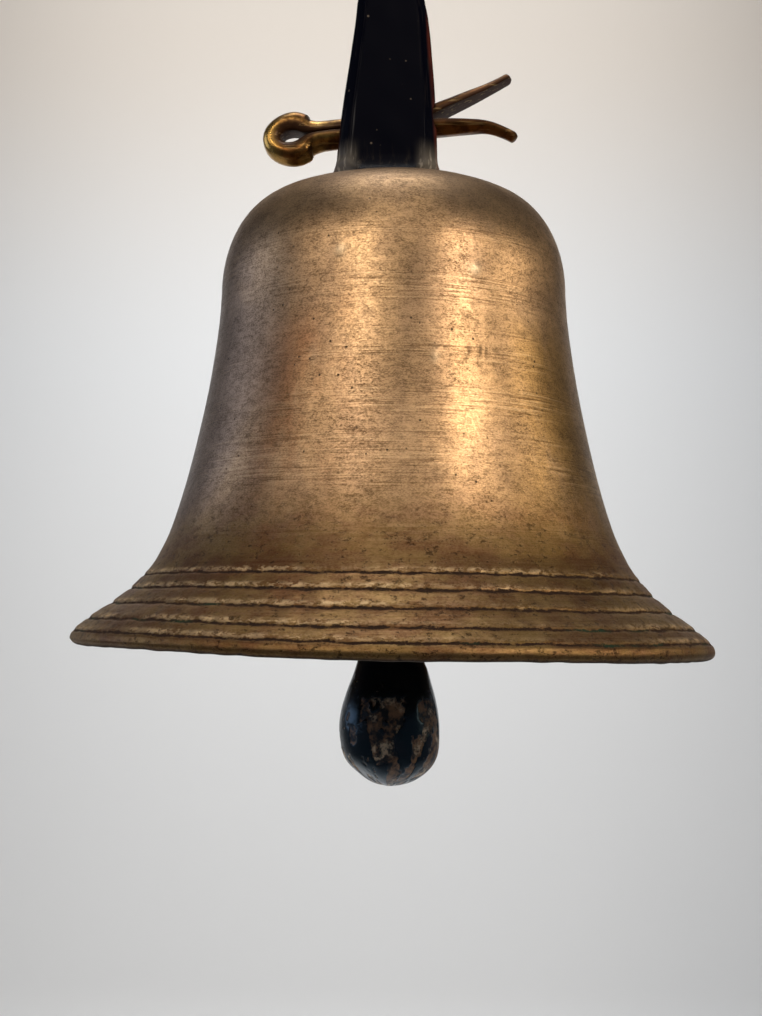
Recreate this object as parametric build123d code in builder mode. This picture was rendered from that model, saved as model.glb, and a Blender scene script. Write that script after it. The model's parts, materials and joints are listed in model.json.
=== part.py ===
"""A ship's bell: a turned bronze bell on a black iron hanger, held by one big brass split pin.

The origin is the centre of the hanger's eye, +Z is up, +Y is along the eye's bore, and +X runs
along the big split pin towards its spread legs. Everything is in millimetres.
Heights in the values below are measured up from the bell's mouth, and a pair is (across, height).
"""

import os
from math import asin, degrees, sqrt

from build123d import *

# ---- Driving dimensions ------------------------------------------------------------------

MOUTH_RADIUS = 63.5  # a five inch bell
EYE_HEIGHT = 150.0  # the hanger's eye above the mouth

# Bell, outside: the lip, then the grooves between the turned beads above it
LIP_BOTTOM = (61.6, 0.0)
LIP_WIDEST = (MOUTH_RADIUS, 1.7)
BEAD_GROOVES = ((62.3, 3.4), (59.9, 5.1), (55.6, 8.1), (52.0, 11.1), (49.5, 13.9))
BEAD_BULGE = (0.30, 0.75, 0.70, 0.60)  # how far each bead stands proud of its two grooves
FLARE = ((46.7, 18.0), (44.1, 24.0), (40.7, 36.0), (37.7, 50.0), (35.7, 64.0))
SHOULDER_RADIUS = 35.1
SHOULDER_BASE = 71.3
SHOULDER_WIDTH = 12.6
SHOULDER_RISE = 19.9
SEAT_RADIUS = 20.5
CROWN_TOP = 91.5

# Bell, inside
LIP_INSIDE = (58.0, 1.2)
BOWL = ((52.4, 5.2), (46.4, 11.6), (41.2, 22.5), (37.4, 36.0), (34.4, 51.0))
INNER_SHOULDER = (32.2, 68.0)
INNER_CROWN_RADIUS = 20.0
CROWN_INSIDE = 87.2
CROWN_HOLE_RADIUS = 4.9

# Stack on the crown, from the outside in
SEAT_WASHER_THICK = 1.0
FOOT_WIDTH = 33.2
FOOT_DEPTH = 28.0
FOOT_CORNER = 9.0
FOOT_THICK = 1.8
LEATHER_MARGIN = 1.0  # how far the leather shows round the foot
INNER_LEATHER_THICK = 1.2
INNER_LEATHER_RADIUS = 12.0
BACKING_WASHER_THICK = 1.6
WASHER_EDGE = 0.35
BACKING_WASHER_RADIUS = 11.0

# Hanger: it leans a little, so its left and right edges have their own places
BAR_BASE = (-12.1, 9.0)
LEFT_SHOULDER = (-7.75, 135.5)
RIGHT_SHOULDER = (6.95, 131.0)
NECK_HALF = 5.4
NECK_HEIGHT = 139.4
NECK_TOP = 141.5  # inside the eye's ring
BAR_TAPER_END = 136.5
BAR_DEPTH = 16.0
TOP_DEPTH = 9.0
BAR_EDGE = 3.2
FOOT_BLEND = 5.4
FOOT_EDGE = 0.5
EYE_OUTER_RADIUS = 12.0
EYE_BORE_RADIUS = 5.5
EYE_EDGE = 0.8
SOCKET_RADIUS = 4.65
SOCKET_TOP = 117.0

# Big split pin, drilled through the hanger and the staple together, a little askew
PIN_MIDDLE = (-1.3, 107.9)
PIN_CLIMB = 5.0  # degrees, up to the right
PIN_YAW = 5.0  # degrees, its legs to the front
PIN_TWIST = 8.0  # degrees about its own length
PIN_RADIUS = 2.95
PIN_HOLE_RADIUS = 3.15
PIN_MOUTH_RADIUS = 4.8  # the hole's worn mouths
PIN_MOUTH_DEPTH = 4.4
PIN_MOUTH_AT = 10.8  # from the pin's middle
PIN_EYE_RADIUS = 3.0
PIN_EYE_AT = 21.0
PIN_SPREAD_AT = 6.2
UPPER_LEG = ((6.0, 22.5), (110.0, -3.5), (120.0, 6.0))  # each bend as (radius, degrees outwards)
LOWER_LEG = ((80.0, 1.5), (80.0, 7.5), (12.0, 20.0), (30.0, 6.0))

# Staple: the bolt that the clapper hangs from
STAPLE_RADIUS = 4.6
STAPLE_TOP = 115.5
STAPLE_TIP = 1.2
COLLAR_RADIUS = 8.5
COLLAR_THICK = 2.9
FORK_GAP = 6.6
CHEEK_THICK = 3.2
CHEEK_RADIUS = 5.5
PIVOT_HEIGHT = 71.5
FORK_ROOF = 78.6

# Clapper
TANG_RADIUS = 6.0
TANG_THICK = 6.0
TANG_LENGTH = 9.5  # from the pivot down into the stem
STEM_RADIUS = 3.6
STEM_TOP = 64.6
STEM_FOOT = (3.9, 22.0)
CLAPPER_SIDE = ((4.6, 8.0), (6.05, 0.0), (7.9, -7.0))
BALL_RADIUS = 9.85
BALL_HEIGHT = -16.9
CLAPPER_BOTTOM = -27.0
BUSH_RADIUS = 3.2

# Clapper pin, with its washer and its own small split pin
CLAPPER_PIN_RADIUS = 2.0
RUNNING_CLEARANCE = 0.05
SNUG_CLEARANCE = 0.02
PIN_HEAD_RADIUS = 3.5
PIN_HEAD_THICK = 1.8
PIN_WASHER_RADIUS = 3.8
PIN_WASHER_THICK = 0.8
CLAPPER_PIN_TAIL = 3.8  # beyond the fork's cheek
PIN_POINT = 0.5
COTTER_RADIUS = 0.6
COTTER_HOLE_RADIUS = 0.68
COTTER_EYE_RADIUS = 0.9
COTTER_EYE_AT = 4.6
COTTER_SPREAD_AT = 2.2
COTTER_LEGS = ((1.9, 42.0), (12.0, 8.0))

# ---- Places that follow from them --------------------------------------------------------

MOUTH_Z = -EYE_HEIGHT
FOOT_BOTTOM = CROWN_TOP + SEAT_WASHER_THICK
FOOT_TOP = FOOT_BOTTOM + FOOT_THICK
INNER_LEATHER_BOTTOM = CROWN_INSIDE - INNER_LEATHER_THICK
BACKING_WASHER_BOTTOM = INNER_LEATHER_BOTTOM - BACKING_WASHER_THICK
COLLAR_BOTTOM = BACKING_WASHER_BOTTOM - COLLAR_THICK
CHEEK_OUTSIDE = FORK_GAP / 2 + CHEEK_THICK
CLAPPER_PIN_END = CHEEK_OUTSIDE + CLAPPER_PIN_TAIL
COTTER_AT = CHEEK_OUTSIDE + PIN_WASHER_THICK + COTTER_RADIUS + 0.3
FOOT_MIDDLE = sum(BAR_BASE) / 2

FRONT = Plane(origin=(0, 0, MOUTH_Z), x_dir=(1, 0, 0), z_dir=(0, -1, 0))
SIDE = Plane(origin=(0, 0, MOUTH_Z), x_dir=(0, 1, 0), z_dir=(1, 0, 0))
PIVOT_PLANE = Plane(origin=(0, 0, MOUTH_Z + PIVOT_HEIGHT), x_dir=(1, 0, 0), z_dir=(0, 1, 0))
PIN_DIRECTION = Vector(1, 0, 0).rotate(Axis.Y, -PIN_CLIMB).rotate(Axis.Z, -PIN_YAW)
PIN_FACING = PIN_DIRECTION.cross(Vector(0, 0, 1)).normalized()
PIN_PLANE = Plane(
    origin=(PIN_MIDDLE[0], 0, MOUTH_Z + PIN_MIDDLE[1]),
    x_dir=PIN_DIRECTION,
    z_dir=PIN_FACING.rotate(Axis((0, 0, 0), PIN_DIRECTION), -PIN_TWIST),
)
PIN_BORE_PLANE = Plane(origin=PIN_PLANE.origin, z_dir=PIN_DIRECTION)
COTTER_PLANE = Plane(
    origin=(0, COTTER_AT, MOUTH_Z + PIVOT_HEIGHT), x_dir=(0, 0, -1), z_dir=(0, 1, 0)
)


def level(height):
    """The horizontal plane at a height above the mouth."""
    return Plane.XY.offset(MOUTH_Z + height)


def bead(start, end, bulge):
    """A turned bead: an arc between two grooves that stands out from their chord by its bulge."""
    across = end[0] - start[0]
    up = end[1] - start[1]
    length = sqrt(across**2 + up**2)
    middle = ((start[0] + end[0]) / 2, (start[1] + end[1]) / 2)
    crest = (middle[0] + bulge * up / length, middle[1] - bulge * across / length)
    return ThreePointArc(start, crest, end)


def bent_leg(start, bends, side):
    """Add one leg's bends to the line being built, from its start; side is 1 for up, -1 for down."""
    here = start
    heading = (1, 0)
    for bend_radius, angle in bends:
        arc = JernArc(here, heading, bend_radius, side * angle)
        here = arc @ 1
        heading = arc % 1


def half_round_pin(plane, radius, eye_radius, eye_at, spread_at, upper_bends, lower_bends):
    """A split pin of half-round wire, folded flat to flat round its own eye.

    It lies in the plane, along its x: the eye at -eye_at, and the legs spread from +spread_at.
    The wire's flat follows one line, from leg to leg round the eye, with the wire outside it.
    """
    slit = 0.04 * radius
    neck = 1.15 * radius
    shoulder = neck + slit
    eye_start = sqrt((neck + eye_radius) ** 2 - shoulder**2) - eye_at
    quarter = 90 - degrees(asin(shoulder / (neck + eye_radius)))
    with BuildPart() as pin:
        with BuildLine(plane) as flat_line:
            bent_leg((spread_at, -slit), lower_bends, -1)
            Line((spread_at, -slit), (eye_start, -slit))
            upper_neck = JernArc((eye_start, slit), (-1, 0), neck, -quarter)
            eye = JernArc(upper_neck @ 1, upper_neck % 1, eye_radius, 180 + 2 * quarter)
            JernArc(eye @ 1, eye % 1, neck, -quarter)
            Line((eye_start, slit), (spread_at, slit))
            bent_leg((spread_at, slit), upper_bends, 1)
        path = flat_line.wire()
        outward = 1 if (path @ 0 - path @ 1).dot(plane.y_dir) > 0 else -1
        with BuildSketch(Plane(origin=path @ 0, x_dir=plane.z_dir * outward, z_dir=path % 0)):
            with BuildLine():
                CenterArc((0, 0), radius, 0, 180)
                Line((-radius, 0), (radius, 0))
            make_face()
        sweep(path=path)
    return pin


def washer(bottom, thick, radius, hole_radius):
    """A round washer lying level, given by the height of its underside."""
    with BuildPart() as ring:
        with BuildSketch(level(bottom)):
            Circle(radius)
            Circle(hole_radius, mode=Mode.SUBTRACT)
        extrude(amount=thick)
        rims = ring.edges().filter_by(GeomType.CIRCLE)
        chamfer(rims.group_by(SortBy.RADIUS)[-1], WASHER_EDGE)
    return ring


def foot_outline(margin):
    """The hanger's rounded foot, drawn larger by a margin all round."""
    with Locations((FOOT_MIDDLE, 0)):
        RectangleRounded(FOOT_WIDTH + 2 * margin, FOOT_DEPTH + 2 * margin, FOOT_CORNER + margin)


def foot_top(piece):
    """The level face on top of the hanger's foot, the second largest after its underside."""
    return piece.faces().filter_by(Plane.XY).sort_by(SortBy.AREA)[-2]


def save(piece, name):
    """Label a finished piece and write it to its own file."""
    piece.part.label = name
    export_step(piece.part, f"parts/{name}.step")


os.makedirs("parts", exist_ok=True)

# ---- Bell --------------------------------------------------------------------------------

with BuildPart() as bell:
    with BuildSketch(FRONT):
        with BuildLine():
            # outside, from the lip up to the crown
            Spline(LIP_INSIDE, LIP_BOTTOM, LIP_WIDEST, tangents=((1, -0.6), (0, 1)))
            Line(LIP_WIDEST, BEAD_GROOVES[0])
            for groove, next_groove, bulge in zip(BEAD_GROOVES, BEAD_GROOVES[1:], BEAD_BULGE):
                bead(groove, next_groove, bulge)
            shoulder_foot = (SHOULDER_RADIUS, SHOULDER_BASE)
            Spline(BEAD_GROOVES[-1], *FLARE, shoulder_foot, tangents=((-1, 1.3), (0, 1)))
            shoulder_middle = (SHOULDER_RADIUS - SHOULDER_WIDTH, SHOULDER_BASE)
            EllipticalCenterArc(shoulder_middle, SHOULDER_WIDTH, SHOULDER_RISE, arc_size=90)
            shoulder_head = (SHOULDER_RADIUS - SHOULDER_WIDTH, SHOULDER_BASE + SHOULDER_RISE)
            Line(shoulder_head, (SEAT_RADIUS, CROWN_TOP))
            Line((SEAT_RADIUS, CROWN_TOP), (CROWN_HOLE_RADIUS, CROWN_TOP))
            # inside, from the crown down to the lip
            Line((CROWN_HOLE_RADIUS, CROWN_TOP), (CROWN_HOLE_RADIUS, CROWN_INSIDE))
            Line((CROWN_HOLE_RADIUS, CROWN_INSIDE), (INNER_CROWN_RADIUS, CROWN_INSIDE))
            Spline((INNER_CROWN_RADIUS, CROWN_INSIDE), INNER_SHOULDER, tangents=((1, 0), (0.06, -1)))
            Spline(INNER_SHOULDER, *reversed(BOWL), LIP_INSIDE, tangents=((0.06, -1), (1, -0.6)))
        make_face()
    revolve(axis=Axis.Z)
save(bell, "bell")

# ---- Hanger ------------------------------------------------------------------------------

with BuildPart() as hanger:
    # the bar: its front outline, thinned towards the top, then its upright edges rounded
    with BuildSketch(FRONT):
        with BuildLine():
            Line((BAR_BASE[0], FOOT_BOTTOM), (BAR_BASE[1], FOOT_BOTTOM))
            Line((BAR_BASE[1], FOOT_BOTTOM), RIGHT_SHOULDER)
            Spline(RIGHT_SHOULDER, (NECK_HALF, NECK_HEIGHT), tangents=((-0.07, 1), (0.25, 1)))
            Line((NECK_HALF, NECK_HEIGHT), (NECK_HALF, NECK_TOP))
            Line((NECK_HALF, NECK_TOP), (-NECK_HALF, NECK_TOP))
            Line((-NECK_HALF, NECK_TOP), (-NECK_HALF, NECK_HEIGHT))
            Spline((-NECK_HALF, NECK_HEIGHT), LEFT_SHOULDER, tangents=((0.1, -1), (-0.1, -1)))
            Line(LEFT_SHOULDER, (BAR_BASE[0], FOOT_BOTTOM))
        make_face()
    extrude(amount=BAR_DEPTH, both=True)
    with BuildSketch(SIDE):
        with BuildLine():
            Polyline(
                (-BAR_DEPTH / 2, FOOT_BOTTOM),
                (BAR_DEPTH / 2, FOOT_BOTTOM),
                (TOP_DEPTH / 2, BAR_TAPER_END),
                (TOP_DEPTH / 2, EYE_HEIGHT),
                (-TOP_DEPTH / 2, EYE_HEIGHT),
                (-TOP_DEPTH / 2, BAR_TAPER_END),
                close=True,
            )
        make_face()
    extrude(amount=FOOT_WIDTH, both=True, mode=Mode.INTERSECT)
    uprights = hanger.edges().filter_by(lambda edge: edge.length > FOOT_WIDTH)
    fillet(uprights, BAR_EDGE)
    # the foot, blended into the bar
    with BuildSketch(level(FOOT_BOTTOM)):
        foot_outline(0)
    extrude(amount=FOOT_THICK)
    fillet(foot_top(hanger).inner_wires().edges(), FOOT_BLEND)
    fillet(foot_top(hanger).outer_wire().edges(), FOOT_EDGE)
    # the eye, a ring turned about the bore
    with BuildSketch(SIDE):
        with Locations((0, EYE_HEIGHT - (EYE_OUTER_RADIUS + EYE_BORE_RADIUS) / 2)):
            RectangleRounded(TOP_DEPTH, EYE_OUTER_RADIUS - EYE_BORE_RADIUS, EYE_EDGE)
    revolve(axis=Axis.Y)
    # the staple's socket and the holes for the big split pin
    with BuildSketch(level(FOOT_BOTTOM)):
        Circle(SOCKET_RADIUS)
    extrude(amount=SOCKET_TOP - FOOT_BOTTOM, mode=Mode.SUBTRACT)
    with BuildSketch(PIN_BORE_PLANE):
        Circle(PIN_HOLE_RADIUS)
    extrude(amount=-2 * BAR_BASE[0], both=True, mode=Mode.SUBTRACT)
    for side in (1, -1):
        with BuildSketch(PIN_BORE_PLANE.offset(side * PIN_MOUTH_AT)):
            Circle(PIN_MOUTH_RADIUS)
        with BuildSketch(PIN_BORE_PLANE.offset(side * (PIN_MOUTH_AT - PIN_MOUTH_DEPTH))):
            Circle(PIN_HOLE_RADIUS)
        loft(mode=Mode.SUBTRACT)
save(hanger, "hanger")

# ---- Leather and steel washers -----------------------------------------------------------

with BuildPart() as seat_washer:
    with BuildSketch(level(CROWN_TOP)):
        foot_outline(LEATHER_MARGIN)
        Circle(CROWN_HOLE_RADIUS, mode=Mode.SUBTRACT)
    extrude(amount=SEAT_WASHER_THICK)
save(seat_washer, "seat_washer")

inner_leather = washer(
    INNER_LEATHER_BOTTOM, INNER_LEATHER_THICK, INNER_LEATHER_RADIUS, CROWN_HOLE_RADIUS
)
save(inner_leather, "inner_leather")

backing_washer = washer(
    BACKING_WASHER_BOTTOM, BACKING_WASHER_THICK, BACKING_WASHER_RADIUS, CROWN_HOLE_RADIUS
)
save(backing_washer, "backing_washer")

# ---- Staple ------------------------------------------------------------------------------

with BuildPart() as staple:
    # shank and collar
    with BuildSketch(level(BACKING_WASHER_BOTTOM)):
        Circle(STAPLE_RADIUS)
    extrude(amount=STAPLE_TOP - BACKING_WASHER_BOTTOM)
    chamfer(staple.edges().sort_by(Axis.Z)[-1], STAPLE_TIP)
    with BuildSketch(level(COLLAR_BOTTOM)):
        Circle(COLLAR_RADIUS)
    extrude(amount=COLLAR_THICK)
    # fork: one block with rounded cheeks, slotted for the clapper
    with BuildSketch(PIVOT_PLANE):
        Circle(CHEEK_RADIUS)
        with Locations((0, -(COLLAR_BOTTOM - PIVOT_HEIGHT) / 2)):  # this plane's y points down
            Rectangle(2 * CHEEK_RADIUS, COLLAR_BOTTOM - PIVOT_HEIGHT)
    extrude(amount=CHEEK_OUTSIDE, both=True)
    with BuildSketch(PIVOT_PLANE):
        Rectangle(4 * CHEEK_RADIUS, 2 * (FORK_ROOF - PIVOT_HEIGHT))
    extrude(amount=FORK_GAP / 2, both=True, mode=Mode.SUBTRACT)
    # holes for the clapper pin and for the big split pin
    with BuildSketch(PIVOT_PLANE):
        Circle(CLAPPER_PIN_RADIUS + SNUG_CLEARANCE)
    extrude(amount=2 * CHEEK_OUTSIDE, both=True, mode=Mode.SUBTRACT)
    with BuildSketch(PIN_BORE_PLANE):
        Circle(PIN_HOLE_RADIUS)
    extrude(amount=2 * STAPLE_RADIUS, both=True, mode=Mode.SUBTRACT)
save(staple, "staple")

# ---- Big split pin -----------------------------------------------------------------------

split_pin = half_round_pin(
    PIN_PLANE, PIN_RADIUS, PIN_EYE_RADIUS, PIN_EYE_AT, PIN_SPREAD_AT, UPPER_LEG, LOWER_LEG
)
save(split_pin, "split_pin")

# ---- Clapper -----------------------------------------------------------------------------

with BuildPart() as clapper:
    with BuildSketch(FRONT):
        with BuildLine():
            Line((0, STEM_TOP), (STEM_RADIUS, STEM_TOP))
            Line((STEM_RADIUS, STEM_TOP), STEM_FOOT)
            Spline(STEM_FOOT, *CLAPPER_SIDE, (BALL_RADIUS, BALL_HEIGHT), tangents=((0.02, -1), (0, -1)))
            EllipticalCenterArc((0, BALL_HEIGHT), BALL_RADIUS, BALL_HEIGHT - CLAPPER_BOTTOM, arc_size=-90)
            Line((0, CLAPPER_BOTTOM), (0, STEM_TOP))
        make_face()
    revolve(axis=Axis.Z)
    with BuildSketch(PIVOT_PLANE):
        Circle(TANG_RADIUS)
        with Locations((0, TANG_LENGTH / 2)):
            Rectangle(2 * STEM_RADIUS, TANG_LENGTH)
        Circle(BUSH_RADIUS, mode=Mode.SUBTRACT)
    extrude(amount=TANG_THICK / 2, both=True)
save(clapper, "clapper")

with BuildPart() as clapper_bush:
    with BuildSketch(PIVOT_PLANE):
        Circle(BUSH_RADIUS)
        Circle(CLAPPER_PIN_RADIUS + RUNNING_CLEARANCE, mode=Mode.SUBTRACT)
    extrude(amount=TANG_THICK / 2, both=True)
save(clapper_bush, "clapper_bush")

# ---- Clapper pin, its washer and its split pin -------------------------------------------

with BuildPart() as clapper_pin:
    with BuildSketch(PIVOT_PLANE.offset(-CHEEK_OUTSIDE - PIN_HEAD_THICK)):
        Circle(PIN_HEAD_RADIUS)
    extrude(amount=PIN_HEAD_THICK)
    fillet(clapper_pin.edges().sort_by(Axis.Y)[0], PIN_HEAD_THICK / 3)
    with BuildSketch(PIVOT_PLANE.offset(-CHEEK_OUTSIDE)):
        Circle(CLAPPER_PIN_RADIUS)
    extrude(amount=CHEEK_OUTSIDE + CLAPPER_PIN_END)
    chamfer(clapper_pin.edges().sort_by(Axis.Y)[-1], PIN_POINT)
    with BuildSketch(Plane(origin=COTTER_PLANE.origin, z_dir=COTTER_PLANE.x_dir)):
        Circle(COTTER_HOLE_RADIUS)
    extrude(amount=2 * CLAPPER_PIN_RADIUS, both=True, mode=Mode.SUBTRACT)
save(clapper_pin, "clapper_pin")

with BuildPart() as pin_washer:
    with BuildSketch(PIVOT_PLANE.offset(CHEEK_OUTSIDE)):
        Circle(PIN_WASHER_RADIUS)
        Circle(CLAPPER_PIN_RADIUS + RUNNING_CLEARANCE, mode=Mode.SUBTRACT)
    extrude(amount=PIN_WASHER_THICK)
save(pin_washer, "pin_washer")

pin_cotter = half_round_pin(
    COTTER_PLANE,
    COTTER_RADIUS,
    COTTER_EYE_RADIUS,
    COTTER_EYE_AT,
    COTTER_SPREAD_AT,
    COTTER_LEGS,
    COTTER_LEGS,
)
save(pin_cotter, "pin_cotter")
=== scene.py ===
"""A ship's bell on its iron hanger: the detailed surfaces, the finishes and the stage.

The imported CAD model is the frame. Lengths are in metres in that frame, whose origin is the centre of the
hanger's eye with +Z up; outlines are given in millimetres above the bell's mouth and scaled once.
"""

import json
import math

import bpy
import numpy as np
from mathutils import Euler, Matrix, Vector


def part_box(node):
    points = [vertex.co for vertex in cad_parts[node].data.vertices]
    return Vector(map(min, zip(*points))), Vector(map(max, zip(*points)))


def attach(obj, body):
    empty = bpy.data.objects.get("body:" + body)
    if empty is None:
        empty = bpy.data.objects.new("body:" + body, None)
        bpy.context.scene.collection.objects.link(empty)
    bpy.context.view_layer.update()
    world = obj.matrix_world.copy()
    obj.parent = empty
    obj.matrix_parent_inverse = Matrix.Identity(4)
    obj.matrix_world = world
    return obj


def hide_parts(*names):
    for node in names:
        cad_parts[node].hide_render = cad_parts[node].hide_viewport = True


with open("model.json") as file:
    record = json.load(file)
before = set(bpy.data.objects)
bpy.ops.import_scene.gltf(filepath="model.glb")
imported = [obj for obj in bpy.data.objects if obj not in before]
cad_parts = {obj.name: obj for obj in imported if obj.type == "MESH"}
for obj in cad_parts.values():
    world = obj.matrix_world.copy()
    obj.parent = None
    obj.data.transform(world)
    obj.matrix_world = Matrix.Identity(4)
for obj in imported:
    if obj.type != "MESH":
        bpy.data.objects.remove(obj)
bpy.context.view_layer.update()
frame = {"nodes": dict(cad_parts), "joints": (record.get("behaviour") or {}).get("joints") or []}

bl_info = {
    "name": "Ship's Bell",
    "version": (1, 0, 0),
    "blender": (4, 5, 0),
    "location": "3D View > Sidebar > Bell",
    "description": "Builds a turned bronze bell with its hanger, split pin and clapper",
    "category": "Add Mesh",
}

MM = 0.001
TURN = 2 * math.pi
SHARP_ANGLE = math.radians(35)

BELL_LOW, BELL_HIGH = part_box("bell")
MOUTH_Z = BELL_LOW[2]
MOUTH_RADIUS = (BELL_HIGH[0] - BELL_LOW[0]) / 2
BELL_BODY = "bell"
CLAPPER_BODY = "clapper"
PIVOT = np.array(frame["joints"][0]["pos_m"])
BELL_MIDDLE = np.array([0, 0, MOUTH_Z + 50 * MM])


# ---- Lines, grids and meshes -------------------------------------------------------------


def smooth_line(points, count):
    """A Catmull-Rom curve through the points, at evenly spaced steps of its parameter."""
    points = np.asarray(points, float)
    padded = np.vstack([2 * points[0] - points[1], points, 2 * points[-1] - points[-2]])
    along = np.linspace(0, len(points) - 1, count)
    first = np.minimum(along.astype(int), len(points) - 2)
    t = (along - first)[:, None]
    a, b, c, d = (padded[first + step] for step in range(4))
    return 0.5 * (2 * b + (c - a) * t + (2 * a - 5 * b + 4 * c - d) * t**2 + (3 * b - a - 3 * c + d) * t**3)


def bowed_line(start, end, bulge, count, lean):
    """The chord from start to end, moved sideways by bulge times 4u(1 - u), with u = t to the power lean."""
    start, end = np.asarray(start, float), np.asarray(end, float)
    t = np.linspace(0, 1, count)[:, None]
    chord = end - start
    outward = np.array([chord[1], -chord[0]]) / np.hypot(*chord)
    return start + chord * t + outward * bulge * 4 * t**lean * (1 - t**lean)


def elbow(centre, across, up, start, end, count):
    """An arc of an ellipse about centre, between two angles in degrees."""
    angle = np.radians(np.linspace(start, end, count))
    return np.stack([centre[0] + across * np.cos(angle), centre[1] + up * np.sin(angle)], 1)


def chain(*lines):
    """Lines joined end to end, leaving out each point that repeats the one before."""
    joined = np.vstack(lines)
    step = np.linalg.norm(np.diff(joined, axis=0), axis=1)
    return joined[np.concatenate([[True], step > 1e-6])]


def spaced(line, count):
    """The line again, at points evenly spaced along its length."""
    step = np.linalg.norm(np.diff(line, axis=0), axis=1)
    length = np.concatenate([[0], np.cumsum(step)])
    along = np.linspace(0, length[-1], count)
    return np.stack([np.interp(along, length, line[:, axis]) for axis in range(line.shape[1])], 1)


def outward_normals(line):
    """Unit normals on the right-hand side of a flat line."""
    slope = np.gradient(line, axis=0)
    normal = np.stack([slope[:, 1], -slope[:, 0]], 1)
    return normal / np.linalg.norm(normal, axis=1)[:, None]


def smoothstep(value, low, high):
    """0 below low, 1 above high, and a smooth rise between."""
    t = np.clip((value - low) / (high - low), 0, 1)
    return t * t * (3 - 2 * t)


def angle_from(around, degrees):
    """How far each angle is from a place round the turn, between minus and plus half a turn."""
    return (around - math.radians(degrees) + math.pi) % TURN - math.pi


def ripple(seed, around, along, waves, slow, fast, per_length):
    """A seeded sum of sines of (cycles times around + slope times along + phase).

    around is an angle and along a length. The cycles are whole numbers between slow and fast, so that the
    waves meet at the seam, and the slopes are spread about 0 by per_length.
    """
    rng = np.random.default_rng(seed)
    total = np.zeros(np.broadcast(around, along).shape)
    for _ in range(waves):
        cycles = rng.integers(slow, fast + 1)
        slope = rng.normal() * per_length
        total += np.sin(cycles * around + slope * along + rng.uniform(0, TURN))
    return total / math.sqrt(waves / 2)


def wrapped_quads(rows, columns, close_rows=False):
    """Quads of a grid whose columns meet again; close_rows also joins its last row to its first."""
    last = rows if close_rows else rows - 1
    row, column = np.meshgrid(np.arange(last), np.arange(columns), indexing="ij")
    beside = (column + 1) % columns
    above = (row + 1) % rows
    below, upper = row * columns, above * columns
    return np.stack([below + column, below + beside, upper + beside, upper + column], -1).reshape(-1, 4)


def grid(*coordinates):
    """Points made of coordinate arrays that are first spread to one shape."""
    return np.stack(np.broadcast_arrays(*coordinates), -1)


def end_rings(rows, columns, downward=False):
    """The first and last rings of a grid, and which of their fans turns over to face outwards."""
    first = np.arange(columns)
    return [(first, not downward), (first + (rows - 1) * columns, downward)]


def make_mesh(name, points, quads, caps=()):
    """A smooth mesh of a grid of points, with a fan of triangles to a new point over each capped ring."""
    vertices = points.reshape(-1, 3)
    faces = quads.tolist()
    for ring, flip in caps:
        middle = len(vertices)
        vertices = np.vstack([vertices, vertices[ring].mean(0)])
        beside = np.roll(ring, -1)
        fan = np.stack([ring, beside, np.full(len(ring), middle)], 1)
        faces += (fan[:, ::-1] if flip else fan).tolist()
    mesh = bpy.data.meshes.new(name)
    mesh.from_pydata(vertices.tolist(), [], faces)
    mesh.polygons.foreach_set("use_smooth", np.ones(len(mesh.polygons), bool))
    mesh.update()
    return mesh


def add_object(name, data):
    """A new object in the scene."""
    item = bpy.data.objects.new(name, data)
    bpy.context.scene.collection.objects.link(item)
    return item


def place_piece(name, mesh, finish, body, replaced):
    """Put a finished mesh in the scene as a piece that rides on a body, in place of a CAD node."""
    piece = add_object(name, mesh)
    mesh.materials.append(finish)
    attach(piece, body)
    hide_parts(replaced)


def store(mesh, name, values):
    """Keep a number for each vertex, for a finish to read; the middles of caps get 0."""
    attribute = mesh.attributes.new(name, "FLOAT", "POINT")
    padded = np.zeros(len(mesh.vertices))
    padded[: values.size] = values.ravel()
    attribute.data.foreach_set("value", padded)


def cut_and_join(mesh, tools):
    """The mesh after a solid union or difference with each (operation, other mesh) in turn."""
    holder = add_object("work", mesh)
    helpers = []
    for operation, other in tools:
        helper = add_object("tool", other)
        helpers.append(helper)
        step = holder.modifiers.new(operation, "BOOLEAN")
        step.operation = operation
        step.solver = "EXACT"
        step.object = helper
    bpy.context.view_layer.update()
    evaluated = holder.evaluated_get(bpy.context.evaluated_depsgraph_get())
    result = bpy.data.meshes.new_from_object(evaluated)
    for item in [holder, *helpers]:
        bpy.data.objects.remove(item)
    result.set_sharp_from_angle(angle=SHARP_ANGLE)
    return result


# ---- Finishes ----------------------------------------------------------------------------


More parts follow.
